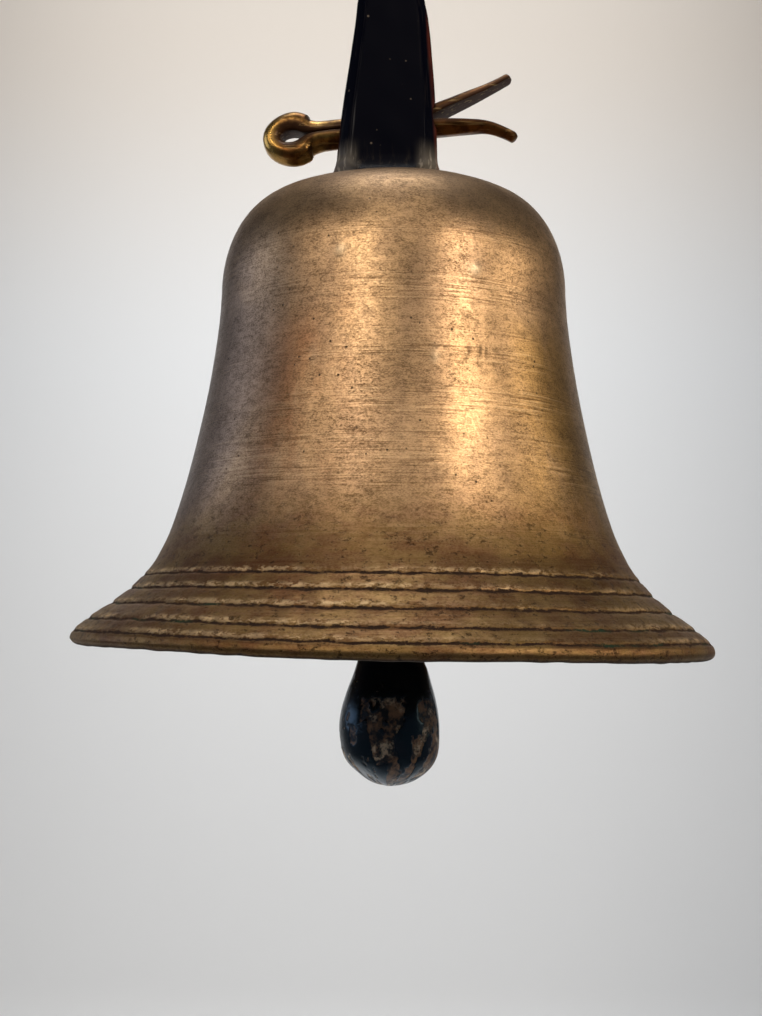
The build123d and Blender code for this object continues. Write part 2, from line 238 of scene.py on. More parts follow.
class Finish:
    """A material under construction, with one short call for each kind of node it uses."""

    def __init__(self, name, **sockets):
        self.material = bpy.data.materials.new(name)
        self.material.use_nodes = True
        self.tree = self.material.node_tree
        self.shader = self.tree.nodes["Principled BSDF"]
        self.place = self.node("ShaderNodeTexCoord", {}).outputs["Object"]
        self.done(**sockets)

    def done(self, **sockets):
        """The material, with these values or nodes in its shader's sockets."""
        for socket, value in sockets.items():
            self.feed(self.shader.inputs[socket.replace("_", " ")], value)
        return self.material

    def feed(self, socket, value):
        """Link a node's output to a socket, or set the socket's own value."""
        if isinstance(value, bpy.types.NodeSocket):
            self.tree.links.new(value, socket)
        else:
            socket.default_value = value

    def node(self, kind, feeds, **settings):
        """A new node with its settings and with values or nodes in its sockets."""
        node = self.tree.nodes.new(kind)
        for key, value in settings.items():
            setattr(node, key, value)
        for key, value in feeds.items():
            self.feed(node.inputs[key], value)
        return node

    def stretched(self, stretch):
        """The object's coordinates, each times its stretch."""
        return self.node("ShaderNodeMapping", {"Vector": self.place, "Scale": stretch}).outputs[0]

    def noise(self, scale, detail=4.0, rough=0.55, stretch=(1, 1, 1), warp=0.0):
        """Clouds with scale of them to the metre, finer where a coordinate is stretched."""
        feeds = {"Vector": self.stretched(stretch), "Scale": scale, "Detail": detail}
        feeds |= {"Roughness": rough, "Distortion": warp}
        return self.node("ShaderNodeTexNoise", feeds).outputs[0]

    def dots(self, scale, jitter=1.0):
        """Distance to the nearest of many scattered points."""
        feeds = {"Vector": self.stretched((1, 1, 1)), "Scale": scale, "Randomness": jitter}
        return self.node("ShaderNodeTexVoronoi", feeds).outputs["Distance"]

    def ramp(self, value, low, high, start=0.0, end=1.0):
        """A smooth change from start to end while the value goes from low to high."""
        feeds = {"Value": value, "From Min": low, "From Max": high, "To Min": start, "To Max": end}
        return self.node("ShaderNodeMapRange", feeds, interpolation_type="SMOOTHSTEP").outputs[0]

    def math(self, operation, first, second=0.0):
        return self.node("ShaderNodeMath", {0: first, 1: second}, operation=operation).outputs[0]

    def folded(self, operation, values):
        total = values[0]
        for value in values[1:]:
            total = self.math(operation, total, value)
        return total

    def times(self, *values):
        return self.folded("MULTIPLY", values)

    def plus(self, *values):
        return self.folded("ADD", values)

    def most(self, *values):
        return self.folded("MAXIMUM", values)

    def less(self, value, taken):
        return self.math("SUBTRACT", value, taken)

    def mix(self, factor, first, second):
        """The first colour where the factor is 0 and the second where it is 1."""
        feeds = {0: factor, 6: first, 7: second}
        return self.node("ShaderNodeMix", feeds, data_type="RGBA").outputs[2]

    def stored(self, name):
        return self.node("ShaderNodeAttribute", {}, attribute_name=name).outputs["Fac"]

    def axis(self, letter):
        return self.node("ShaderNodeSeparateXYZ", {0: self.place}).outputs[letter]

    def bump(self, height, distance, strength):
        feeds = {"Height": height, "Distance": distance, "Strength": strength}
        return self.node("ShaderNodeBump", feeds).outputs[0]


# ---- Bell --------------------------------------------------------------------------------

# (radius, height) in millimetres; the grooves are the lines that the beads lie between
LIP_INNER = (58.0, 1.2)
LIP_UNDER = (61.9, -0.25)
LIP_EDGE = (63.47, 1.0)
GROOVES = ((62.75, 2.75), (59.9, 5.1), (55.6, 8.1), (52.0, 11.1), (49.5, 13.9))
BULGES = (0.06, 0.16, 0.16, 0.10)
BEAD_LEAN = 0.85  # under 1 moves each bead's fullest place down towards its lower line
BEADS_FROM = 2.2
FLARE = ((48.6, 15.0), (46.7, 18.0), (44.1, 24.0), (40.7, 36.0), (37.7, 50.0), (35.7, 64.0), (35.1, 71.3))
SHOULDER_WIDTH = 12.6
SHOULDER_RISE = 19.9
CROWN_FLAT = (20.5, 91.5)
CROWN_HOLE = 4.9
CROWN_UNDER = 87.2
INNER_SHOULDER = ((20.0, CROWN_UNDER), (28.5, 83.2), (31.8, 76.0), (32.2, 68.0))
INNER_WALL = ((34.4, 51.0), (37.4, 36.0), (41.2, 22.5))
INNER_BOW = ((46.4, 11.6), (52.4, 5.2), LIP_INNER)
BELL_COLUMNS = 400

# raised blisters on the skin: (degrees round from the right, height, width, rise)
BLISTERS = (
    (-106.0, 72.5, 2.1, 0.22),
    (-65.0, 69.5, 2.2, 0.24),
    (-78.5, 53.0, 1.8, 0.24),
    (41.0, 60.0, 2.0, 0.2),
)
# where handling and weather have coloured the skin, and where a cool reflection is painted on its left side:
# degrees round, half width in degrees, lowest, highest
ZONES = (
    ("rusty", -117.0, 11.0, -6.0, 66.0),
    ("golden", -35.0, 23.0, 6.0, 66.0),
    ("purple_and_painted_reflection", 180.0, 50.0, -8.0, 92.0),
)
ZONE_FADE = 12.0
# the pitted patch: where it is (degrees round, height) and half its size (degrees, height)
PITTED_AT = (-66.5, 54.6)
PITTED_HALF = (5.5, 0.9)

# half a groove's width, and where the ragged metal lies above it, in millimetres
GROOVE_HALF = 0.30
RAGGED_ABOVE = 0.58
RAGGED_HALF = 0.42

# how far each kind of wear moves the skin, in millimetres
RAGGED_RISE = 0.05
LUMP_RISE = 0.05
BEAD_WAVES = 0.03
SKIN_WAVES = 0.07
PIT_DEPTH = 0.22
# how the lip is bent out of true, in millimetres
LIP_HEIGHT = 22.0
LIP_WAVES = 0.12
LEFT_LIFT = 0.5
LEFT_DRAWN_IN = 0.4
DRAWN_IN = (0.10, 2.5)  # the waves' size, and how many times that size the whole lip is drawn in
INNER_ROOM = 1.0
LIP_POINTS = 6  # over which the inner wall's move fades out under the lip

# the colours of what lies on the bronze
RUSTY_STAIN = (0.47, 0.205, 0.080, 1)
GOLDEN_STAIN = (0.47, 0.275, 0.080, 1)
# a purple tone in drifting clouds, and a cool reflection painted on the bell's left side
PURPLE_TONE_AND_PAINTED_REFLECTION = (0.24, 0.195, 0.175, 1)
GRIME = (0.050, 0.026, 0.012, 1)
SCORED_LINE = (0.10, 0.048, 0.020, 1)
RAISED_LINE = (0.82, 0.57, 0.32, 1)
PIT_DIRT = (0.020, 0.012, 0.008, 1)
BEAD_BROWN = (0.110, 0.040, 0.011, 1)
BEAD_WORN = (0.215, 0.130, 0.038, 1)
CROWN_BROWN = (0.15, 0.095, 0.055, 1)
POCK_DIRT = (0.030, 0.016, 0.007, 1)
HALO_RUST = (0.15, 0.055, 0.016, 1)
HALO_OLIVE = (0.10, 0.065, 0.02, 1)
# torn metal on the beads' lower edges, painted bright as a highlight there
TORN_METAL_AND_PAINTED_HIGHLIGHT = (0.78, 0.55, 0.30, 1)
GROOVE_DIRT = (0.026, 0.011, 0.004, 1)
VERDIGRIS = (0.014, 0.030, 0.014, 1)
PAINTED_BLISTER_HIGHLIGHT = (0.86, 0.68, 0.44, 1)
# painted shade under the lip
PAINTED_UNDER_SHADE = (0.022, 0.012, 0.008, 1)
INSIDE_BROWN = (0.10, 0.062, 0.034, 1)
INSIDE_RUST = (0.20, 0.115, 0.055, 1)


class BellSettings(bpy.types.PropertyGroup):
    """What a user would change on the bell."""

    bronze: bpy.props.FloatVectorProperty(
        name="Bronze", description="Colour of the rubbed bronze", subtype="COLOR", size=3,
        default=(0.74, 0.47, 0.235), min=0, max=1,
    )
    tarnish: bpy.props.FloatVectorProperty(
        name="Tarnish", description="Colour of the bronze where it has dulled", subtype="COLOR", size=3,
        default=(0.50, 0.32, 0.18), min=0, max=1,
    )
    groove_depth: bpy.props.FloatProperty(
        name="Groove depth", description="How deep the lines between the beads are cut", unit="LENGTH",
        default=0.14 * MM,
    )
    lip_warp: bpy.props.FloatProperty(
        name="Lip warp", description="How far the lip rises on its left and drops on its right",
        unit="LENGTH", default=0.9 * MM,
    )


def bell_outline():
    """The bell's section as one closed line of (radius, height) in metres, and which points are outside."""
    lip = smooth_line([(59.6, 0.35), LIP_UNDER, (63.0, 0.15), LIP_EDGE, (63.25, 2.0), GROOVES[0]], 26)
    beads = [
        bowed_line(low, high, bulge, 22, BEAD_LEAN)
        for low, high, bulge in zip(GROOVES, GROOVES[1:], BULGES)
    ]
    shoulder_middle = (FLARE[-1][0] - SHOULDER_WIDTH, FLARE[-1][1])
    shoulder_top = (shoulder_middle[0], shoulder_middle[1] + SHOULDER_RISE)
    outside = chain(
        lip,
        *beads,
        smooth_line([GROOVES[-1], *FLARE], 62),
        elbow(shoulder_middle, SHOULDER_WIDTH, SHOULDER_RISE, 0, 90, 26),
        smooth_line([shoulder_top, CROWN_FLAT, (CROWN_HOLE, CROWN_FLAT[1])], 9),
    )
    inside = chain([(CROWN_HOLE, CROWN_UNDER)], smooth_line([*INNER_SHOULDER, *INNER_WALL, *INNER_BOW], 34))
    line = np.vstack([outside, inside])
    return line * MM, np.arange(len(line)) < len(outside)


def groove_weight(height, around):
    """1 in the middle of a line between beads and 0 a little away from it; each line wanders and varies."""
    weight = np.zeros(np.broadcast(height, around).shape)
    for number, (_, level) in enumerate(GROOVES):
        wander = 0.05 * MM * ripple(40 + number, around, 0.0, 14, 3, 60, 0)
        width = (GROOVE_HALF + 0.05 * ripple(60 + number, around, 0.0, 12, 4, 50, 0)) * MM
        weight = np.maximum(weight, np.exp(-(((height - level * MM - wander) / width) ** 2)))
    return weight


def ragged_edges(height, around):
    """Near 1 where the metal just above a line between beads is broken into ragged lumps, and 0 elsewhere."""
    weight = np.zeros(np.broadcast(height, around).shape)
    for number, (_, level) in enumerate(GROOVES):
        lumps = 0.55 + 0.45 * smoothstep(ripple(80 + number, around, 0.0, 30, 8, 120, 0), -0.9, 1.0)
        above = height - (level + RAGGED_ABOVE) * MM
        weight = np.maximum(weight, lumps * np.exp(-((above / (RAGGED_HALF * MM)) ** 2)))
    return weight


def blister_weight(height, around, radius, place):
    """A round bump on the skin: a bell curve of the distance from its place along the surface."""
    degrees, level, width, _ = place
    gone = (angle_from(around, degrees) * radius) ** 2 + (height - level * MM) ** 2
    return np.exp(-gone / (0.42 * width * MM) ** 2)


def pit_weight(height, around):
    """The pitted patch, with steep ends and soft top and bottom, times seeded specks."""
    patch = np.exp(-((angle_from(around, PITTED_AT[0]) / math.radians(PITTED_HALF[0])) ** 4))
    patch = patch * np.exp(-(((height / MM - PITTED_AT[1]) / PITTED_HALF[1]) ** 2))
    return patch * smoothstep(ripple(11, around, height * 1500, 30, 60, 190, 1.0), 0.1, 1.2)


def zone_weight(height, around, middle, spread, low, high):
    """A coloured zone: a bell curve round from its middle, times smooth steps up at low and down at high."""
    zone = np.exp(-((angle_from(around, middle) / math.radians(spread)) ** 2))
    zone = zone * smoothstep(height, low * MM, (low + ZONE_FADE) * MM)
    return zone * smoothstep(-height, -high * MM, (ZONE_FADE - high) * MM)


def bent_lip(radius, height, around, line, outside, warp):
    """The skin with its lip bent out of true, by amounts that fade out at the lip's height.

    The lip rises on its left and drops on its right by warp times the cosine of the angle, plus seeded waves.
    It is drawn in all round, most on the left, where its edge is lifted too. The inner wall is moved out on
    the right, where the lip drops, so that the swinging clapper clears it.
    """
    lip = smoothstep(-height, -LIP_HEIGHT * MM, -1 * MM)
    left = smoothstep(-np.cos(around), 0.2, 1.0)
    height = height - warp * np.cos(around) * lip + LIP_WAVES * MM * ripple(5, around, 0.0, 9, 2, 9, 0) * lip
    height = height + LEFT_LIFT * MM * left * smoothstep(-line[:, 1:], -1.9 * MM, -0.2 * MM)
    narrowed = DRAWN_IN[0] * (ripple(6, around, 0.0, 8, 2, 11, 0) - DRAWN_IN[1]) - LEFT_DRAWN_IN * left
    radius = radius + MM * narrowed * lip * outside[:, None]
    inner = np.where(outside, 0.0, 1.0)
    inner[:LIP_POINTS] = np.linspace(1, 0, LIP_POINTS)
    radius = radius + INNER_ROOM * MM * smoothstep(np.cos(around), -0.2, 0.9) * lip * inner[:, None]
    return np.minimum(radius, MOUTH_RADIUS), height


def bell_mesh(settings):
    """The bell's skin: its section turned about the bell's axis, then cut, chipped, blistered and bent.

    A point at angle a on the section (r, h) is (r cos a, r sin a, h). It is moved along the section's normal
    by the grooves, the ragged bead edges, seeded waves, the blisters and the pits, and then by bent_lip.
    The weights of what the finish has to colour are kept with the mesh.
    """
    line, outside = bell_outline()
    around = np.linspace(0, TURN, BELL_COLUMNS, endpoint=False)[None, :]
    radius, height, outer = line[:, :1], line[:, 1:], outside[:, None]
    skin = outer & (height > BEADS_FROM * MM)
    groove = groove_weight(height, around) * skin
    ragged = ragged_edges(height, around) * skin
    lumps = ripple(7, around, height * 900, 30, 30, 180, 1.0) * ragged
    beaded = smoothstep(-height, -16 * MM, -14 * MM)
    push = RAGGED_RISE * MM * ragged + LUMP_RISE * MM * lumps - settings.groove_depth * groove
    push = push + BEAD_WAVES * MM * ripple(3, around, height * 600, 24, 5, 90, 1.0) * beaded
    push = push + SKIN_WAVES * MM * ripple(4, around, height * 100, 10, 1, 7, 1.0) * outer
    blister = np.zeros_like(push)
    for place in BLISTERS:
        bump = blister_weight(height, around, radius, place) * outer
        blister = np.maximum(blister, bump)
        push = push + place[-1] * MM * bump
    pits = pit_weight(height, around) * outer
    push = push - PIT_DEPTH * MM * pits
    weights = {
        "groove": groove,
        "ragged": ragged,
        "pits": pits,
        "blister": blister,
        "under": smoothstep(-height, -0.45 * MM, 0.1 * MM),
        "inside": ~outer,
    }
    for name, *place in ZONES:
        weights[name] = zone_weight(height, around, *place)
    up = height / MOUTH_RADIUS

    normal = outward_normals(line)
    radius, height = radius + push * normal[:, :1], height + push * normal[:, 1:]
    radius, height = bent_lip(radius, height, around, line, outside, settings.lip_warp)
    points = grid(radius * np.cos(around), radius * np.sin(around), height + MOUTH_Z)
    mesh = make_mesh("bell_skin", points, wrapped_quads(len(line), BELL_COLUMNS, close_rows=True))
    for name, weight in weights.items():
        store(mesh, name, np.broadcast_to(weight, push.shape))
    turns = np.arange(BELL_COLUMNS) / BELL_COLUMNS
    add_map(mesh, np.broadcast_to(turns, push.shape), np.broadcast_to(up, push.shape))
    return mesh


def add_map(mesh, across, up):
    """A UV map that runs once round the grid; the quads that close the turn carry on past 1."""
    layer = mesh.uv_layers.new(name="Turned")
    corner = np.zeros(len(mesh.loops), int)
    mesh.loops.foreach_get("vertex_index", corner)
    u = across.ravel()[corner]
    start = np.zeros(len(mesh.polygons), int)
    mesh.polygons.foreach_get("loop_start", start)
    quad = start[:, None] + np.arange(4)
    closing = quad[np.ptp(u[quad], axis=1) > 0.5]
    u[closing] = np.where(u[closing] < 0.5, u[closing] + 1, u[closing])
    layer.data.foreach_set("uv", np.stack([u, up.ravel()[corner]], 1).ravel())


def bronze_finish(settings):
    """Old turned bronze: sandy grain, lathe lines in bands, stains, a cool reflection painted on the left,
    dirt in the grooves, torn metal painted bright above them, painted highlights on the blisters and painted
    shade under the lip.
    """
    f = Finish("old_bronze", Anisotropic=0.25, Specular_IOR_Level=0.2)
    grain = f.noise(2300, 3, 0.72, (1, 1, 1.9))
    coarse = f.noise(520, 4, 0.7, (1, 1, 1.9))
    mottle = f.ramp(f.noise(95, 5, 0.68, (1, 1, 1.3)), 0.36, 0.64)
    rub = f.ramp(f.noise(30, 5, 0.62, (1, 1, 0.7), 0.5), 0.36, 0.66)
    rust = f.ramp(f.noise(24, 4, 0.6, (1, 1, 0.45), 0.4), 0.52, 0.70)
    cool = f.ramp(f.noise(26, 4, 0.6), 0.52, 0.70)
    lines = f.noise(1, 3, 0.65, (80, 80, 3200))
    sand = f.ramp(f.plus(f.times(grain, 0.62), f.times(coarse, 0.38)), 0.36, 0.60)
    smooth = f.less(1.0, sand)

    # the rubbed metal, stained in its zones and in drifting clouds, with a cool reflection painted on its
    # left side
    streaks = f.ramp(f.noise(60, 5, 0.65, (1, 1, 0.35)), 0.34, 0.56)
    rusty = f.most(f.times(rust, 0.5), f.times(f.stored("rusty"), streaks))
    golden = f.times(f.stored("golden"), streaks, 0.85)
    purple_and_painted_reflection = f.most(f.times(cool, 0.45), f.times(f.stored("purple_and_painted_reflection"), f.ramp(rub, 1.0, 0.0, 0.55, 1.0)))
    colour = f.mix(rub, (*settings.tarnish, 1), (*settings.bronze, 1))
    colour = f.mix(f.times(rusty, 0.8), colour, RUSTY_STAIN)
    colour = f.mix(golden, colour, GOLDEN_STAIN)
    colour = f.mix(f.times(purple_and_painted_reflection, 0.8), colour, PURPLE_TONE_AND_PAINTED_REFLECTION)
    colour = f.mix(f.plus(f.times(smooth, 0.56), f.times(mottle, 0.26)), colour, GRIME)

    # lathe lines, scored dark and raised bright, and dark specks
    bands = f.times(f.ramp(f.noise(1, 2, 0.6, (5, 5, 150)), 0.45, 0.60), f.ramp(f.noise(22, 3), 0.34, 0.54))
    # the lathe lines fade where the cool reflection is painted on the left side
    bands = f.times(bands, f.less(1.0, f.times(f.stored("purple_and_painted_reflection"), 0.8)))
    scored = f.times(bands, f.ramp(lines, 0.50, 0.66))
    raised = f.times(bands, f.ramp(lines, 0.47, 0.38))
    speck = f.times(f.ramp(f.dots(460), 0.13, 0.06), f.ramp(f.noise(90, 3), 0.50, 0.58))
    colour = f.mix(f.times(scored, 0.62), colour, SCORED_LINE)
    colour = f.mix(f.times(raised, 0.26), colour, RAISED_LINE)
    colour = f.mix(f.times(speck, 0.8), colour, PIT_DIRT)

    # the beads and the lip below, darkened, worn and pocked, and the crown above
    low = f.ramp(f.axis("Z"), MOUTH_Z + 34 * MM, MOUTH_Z + 15 * MM)
    high = f.ramp(f.axis("Z"), MOUTH_Z + 80 * MM, MOUTH_Z + 90 * MM)
    worn = f.ramp(f.noise(140, 5, 0.7, (0.5, 0.5, 1.2)), 0.36, 0.62)
    pocks = f.times(low, f.ramp(f.noise(820, 4, 0.85, (0.7, 0.7, 1.2)), 0.55, 0.63))
    colour = f.mix(f.times(low, 0.74), colour, f.mix(worn, BEAD_BROWN, BEAD_WORN))
    colour = f.mix(f.times(high, 0.6), colour, CROWN_BROWN)
    colour = f.mix(f.times(pocks, 0.75), colour, POCK_DIRT)

    # grooves: a brown edge, torn metal above painted bright as a highlight along each bead's lower edge, and
    # dirt with some verdigris inside
    rough_edge = f.noise(1300, 4, 0.85, (0.6, 0.6, 1.3))
    halo = f.ramp(f.stored("groove"), 0.05, 0.8)
    torn_and_highlit = f.ramp(f.noise(900, 5, 0.85, (0.6, 0.6, 1.2)), 0.46, 0.54)
    torn_and_highlit = f.times(torn_and_highlit, f.ramp(f.noise(48, 4, 0.6), 0.40, 0.58, 0.25, 1.0))
    ragged = f.times(f.stored("ragged"), torn_and_highlit)
    groove = f.ramp(f.plus(f.stored("groove"), f.times(rough_edge, 2.6)), 1.72, 2.15)
    verdigris = f.ramp(f.noise(85, 3), 0.60, 0.68)
    colour = f.mix(f.times(halo, 0.5), colour, f.mix(mottle, HALO_RUST, HALO_OLIVE))
    colour = f.mix(f.times(ragged, 0.85), colour, TORN_METAL_AND_PAINTED_HIGHLIGHT)
    colour = f.mix(groove, colour, f.mix(verdigris, GROOVE_DIRT, VERDIGRIS))

    colour = f.mix(f.times(f.stored("pits"), 0.95), colour, PIT_DIRT)
    # the blisters are painted pale as highlights on their bumps
    colour = f.mix(f.times(f.stored("blister"), 0.5), colour, PAINTED_BLISTER_HIGHLIGHT)
    # the underside of the lip is painted dark as shade
    under = f.stored("under")
    inside = f.stored("inside")
    colour = f.mix(f.times(under, 0.85), colour, PAINTED_UNDER_SHADE)
    colour = f.mix(inside, colour, f.mix(rust, INSIDE_BROWN, INSIDE_RUST))

    rough = f.plus(0.33, f.times(smooth, 0.10))
    rough = f.plus(rough, f.times(f.most(groove, f.most(inside, under)), 0.25))
    rough = f.plus(rough, f.times(f.most(low, high), 0.12))
    metal = f.less(1.0, f.times(f.most(groove, f.times(speck, 0.7)), 0.8))
    height = f.plus(f.times(grain, 0.7), f.times(coarse, 0.9))
    height = f.plus(height, f.times(lines, f.plus(0.25, f.times(bands, 0.5))))
    height = f.less(height, f.times(f.most(speck, f.stored("pits")), 0.9))
    height = f.plus(height, f.less(f.times(ragged, 0.7), f.times(pocks, 0.8)))
    height = f.less(height, f.times(groove, 0.6))
    tangent = f.node("ShaderNodeTangent", {}, direction_type="UV_MAP", uv_map="Turned").outputs[0]
    normal = f.bump(height, 0.045 * MM, 0.9)
    return f.done(Base_Color=colour, Roughness=rough, Metallic=metal, Tangent=tangent, Normal=normal)


class SHIPBELL_OT_bell(bpy.types.Operator):
    """Make the bell"""

    bl_idname = "shipbell.bell"
    bl_label = "Bell"

    def execute(self, context):
        settings = context.scene.shipbell_bell
        place_piece(
            "bell_skin", bell_mesh(settings), bronze_finish(settings), BELL_BODY, "bell"
        )
        return {"FINISHED"}


# ---- Hanger ------------------------------------------------------------------------------

# the bar's left edge, right edge, half depth and bevel at each height, in millimetres
BAR_HEIGHTS = (92.5, 94.3, 99.3, 107.0, 114.0, 122.0, 127.0, 131.0, 134.0, 136.5, 138.5, 141.5)
BAR_LEFT = (-12.1, -12.05, -11.85, -11.2, -10.35, -9.25, -8.6, -8.15, -7.85, -7.3, -6.3, -5.2)
BAR_RIGHT = (9.05, 9.0, 8.85, 8.65, 8.35, 7.75, 7.3, 6.85, 6.2, 5.75, 5.4, 5.2)
BAR_HALF_DEPTH = (8.0, 7.85, 7.45, 6.85, 6.3, 5.65, 5.25, 4.95, 4.7, 4.5, 4.5, 4.5)
BAR_BEVEL = (2.6, 2.6, 2.6, 2.5, 2.3, 2.1, 2.0, 1.9, 1.8, 1.8, 1.8, 1.8)
FOOT_HALF = (16.6, 14.0)
FOOT_TOP_HEIGHT = 94.3
FOOT_UNDER_HEIGHT = 92.5
FOOT_BLEND = 5.6
EYE_OUTER = 12.0
EYE_BORE = 5.5
EYE_HALF_DEPTH = 4.5
SOCKET_RADIUS = 4.65
SOCKET_HEIGHT = 117.0
EYE_SQUARENESS = 5.0
CORNER_SHARPNESS = 48

# red-brown of paint worn thin at the bar's edges, also a painted reflection there
THIN_PAINT_AND_EDGE_REFLECTION = (0.115, 0.026, 0.016, 1)
DUST = (0.24, 0.19, 0.14, 1)
RUBBED_PAINT = (0.045, 0.036, 0.028, 1)
# a painted highlight at the foot's corners
PAINTED_FOOT_HIGHLIGHT = (0.60, 0.53, 0.43, 1)


class HangerSettings(bpy.types.PropertyGroup):
    """What a user would change on the hanger."""

    paint: bpy.props.FloatVectorProperty(
        name="Paint", description="Colour of the gloss paint", subtype="COLOR", size=3,
        default=(0.0012, 0.0014, 0.0050), min=0, max=1,
    )
    waviness: bpy.props.FloatProperty(
        name="Waviness", description="How uneven the forged faces are", unit="LENGTH", default=0.025 * MM,
    )


def squared_circle(power, count):
    """A superellipse of half size 1: the cosine and the sine to the power 2/power, with their signs kept."""
    angle = np.linspace(0, TURN, count, endpoint=False)
    return [np.sign(wave) * np.abs(wave) ** (2 / power) for wave in (np.cos(angle), np.sin(angle))]


def bevelled_ring(angle, half_width, half_depth, bevel, sharpness):
    """A rectangle with its corners cut at 45 degrees, as the distance from its middle at each angle.

    A ray meets each of the eight sides at its reach over the cosine of the angle from its normal. One over
    the distance, to the power sharpness, is the sum of one over each of these to that power, which picks the
    nearest and rounds the corners a little.
    """
    total = 0
    slant = (half_width + half_depth - bevel) / math.sqrt(2)
    for number in range(8):
        reach = (half_width, slant, half_depth, slant)[number % 4]
        facing = np.maximum(np.cos(angle - number * TURN / 8), 1e-6)
        total = total + (facing / reach) ** sharpness
    return total ** (-1 / sharpness)


def bar_mesh(settings):
    """The hanger's bar and foot: bevelled rings stacked up, widening into the foot by a quarter circle.

    The foot's plate has a rounded edge, and the faces are made uneven by seeded waves.
    """
    columns = 240
    blend_top = FOOT_TOP_HEIGHT + FOOT_BLEND
    heights = np.concatenate([
        np.linspace(FOOT_UNDER_HEIGHT, FOOT_TOP_HEIGHT, 7),
        FOOT_TOP_HEIGHT + FOOT_BLEND * (1 - np.cos(np.linspace(0, math.pi / 2, 36)[1:])),
        np.linspace(blend_top, BAR_HEIGHTS[-1], 108)[1:],
    ])
    sides = (BAR_LEFT, BAR_RIGHT, BAR_HALF_DEPTH, BAR_BEVEL)
    left, right, depth, bevel = (np.interp(heights, BAR_HEIGHTS, side) for side in sides)
    kernel = np.hanning(9) / np.hanning(9).sum()
    left, right, depth = (
        np.convolve(np.pad(side, 4, "edge"), kernel, "valid") for side in (left, right, depth)
    )
    climb = np.clip((heights - FOOT_TOP_HEIGHT) / FOOT_BLEND, 0, 1)
    flare = FOOT_BLEND * (1 - np.sqrt(1 - (1 - climb) ** 2))
    plate = heights <= FOOT_TOP_HEIGHT
    plate_middle = (FOOT_UNDER_HEIGHT + FOOT_TOP_HEIGHT) / 2
    edge = 0.35 * np.where(plate, np.abs(heights - plate_middle) / 0.9, 0) ** 4
    wide = np.where(plate, FOOT_HALF[0] - edge, np.minimum((right - left) / 2 + flare, FOOT_HALF[0] - 0.4))
    deep = np.where(plate, FOOT_HALF[1] - edge, np.minimum(depth + flare, FOOT_HALF[1] - 0.4))
    bevel = bevel + 6.0 * smoothstep(1 - climb, 0.2, 1)
    angle = np.linspace(0, TURN, columns, endpoint=False)[None, :]
    reach = bevelled_ring(angle, wide[:, None], deep[:, None], bevel[:, None], CORNER_SHARPNESS)
    reach = reach + settings.waviness / MM * ripple(21, angle, heights[:, None] * 0.35, 12, 1, 6, 1.0)
    middle = ((left + right) / 2)[:, None]
    points = grid(middle + reach * np.cos(angle), reach * np.sin(angle), heights[:, None])
    points = points * MM + np.array([0, 0, MOUTH_Z])
    rows = len(heights)
    return make_mesh("bar", points, wrapped_quads(rows, columns), end_rings(rows, columns))


def loop_mesh(name, centre, outline, inner, half_depth, squareness):
    """A flat ring: at each angle its section is a superellipse from the inner radius to the outline's radius.

    The ring lies upright, with its bore along Y; the outline gives the outer radius at each angle.
    """
    columns, section = len(outline), 28
    around = np.linspace(0, TURN, columns, endpoint=False)[:, None]
    across, through = squared_circle(squareness, section)
    half = (outline[:, None] - inner) / 2
    radius = inner + half + half * across
    x = centre[0] + radius * np.cos(around)
    z = centre[2] + radius * np.sin(around)
    points = grid(x, centre[1] - half_depth * through, z)
    return make_mesh(name, points, wrapped_quads(columns, section, close_rows=True))


def rod_mesh(name, start, direction, stations, radii):
    """A turned rod: circles of the given radii at stations along a direction, with flat ends."""
    rows, columns = len(stations), 64
    direction = direction / np.linalg.norm(direction)
    side = np.cross(direction, [0, 1, 0])
    side = side / np.linalg.norm(side)
    other = np.cross(direction, side)
    angle = np.linspace(0, TURN, columns, endpoint=False)
    circle = np.cos(angle)[:, None] * side + np.sin(angle)[:, None] * other
    stations, radii = np.asarray(stations, float), np.asarray(radii, float)
    points = start + stations[:, None, None] * direction + radii[:, None, None] * circle
    return make_mesh(name, points, wrapped_quads(rows, columns), end_rings(rows, columns))


def hanger_mesh(settings):
    """The bar joined to its eye, then bored for the staple and for the split pin."""
    outline = np.full(128, EYE_OUTER * MM)
    eye = loop_mesh("eye", (0, 0, 0), outline, EYE_BORE * MM, EYE_HALF_DEPTH * MM, EYE_SQUARENESS)
    up = np.array([0, 0, 1.0])
    under = np.array([0, 0, MOUTH_Z + (FOOT_UNDER_HEIGHT - 1) * MM])
    depth = (SOCKET_HEIGHT - FOOT_UNDER_HEIGHT + 1) * MM
    socket = rod_mesh("socket", under, up, [0, depth], [SOCKET_RADIUS * MM] * 2)
    bore = rod_mesh("bore", PIN_MIDDLE, PIN_ALONG, np.array(BORE_STATIONS) * MM, np.array(BORE_RADII) * MM)
    tools = [("UNION", eye), ("DIFFERENCE", socket), ("DIFFERENCE", bore)]
    return cut_and_join(bar_mesh(settings), tools)


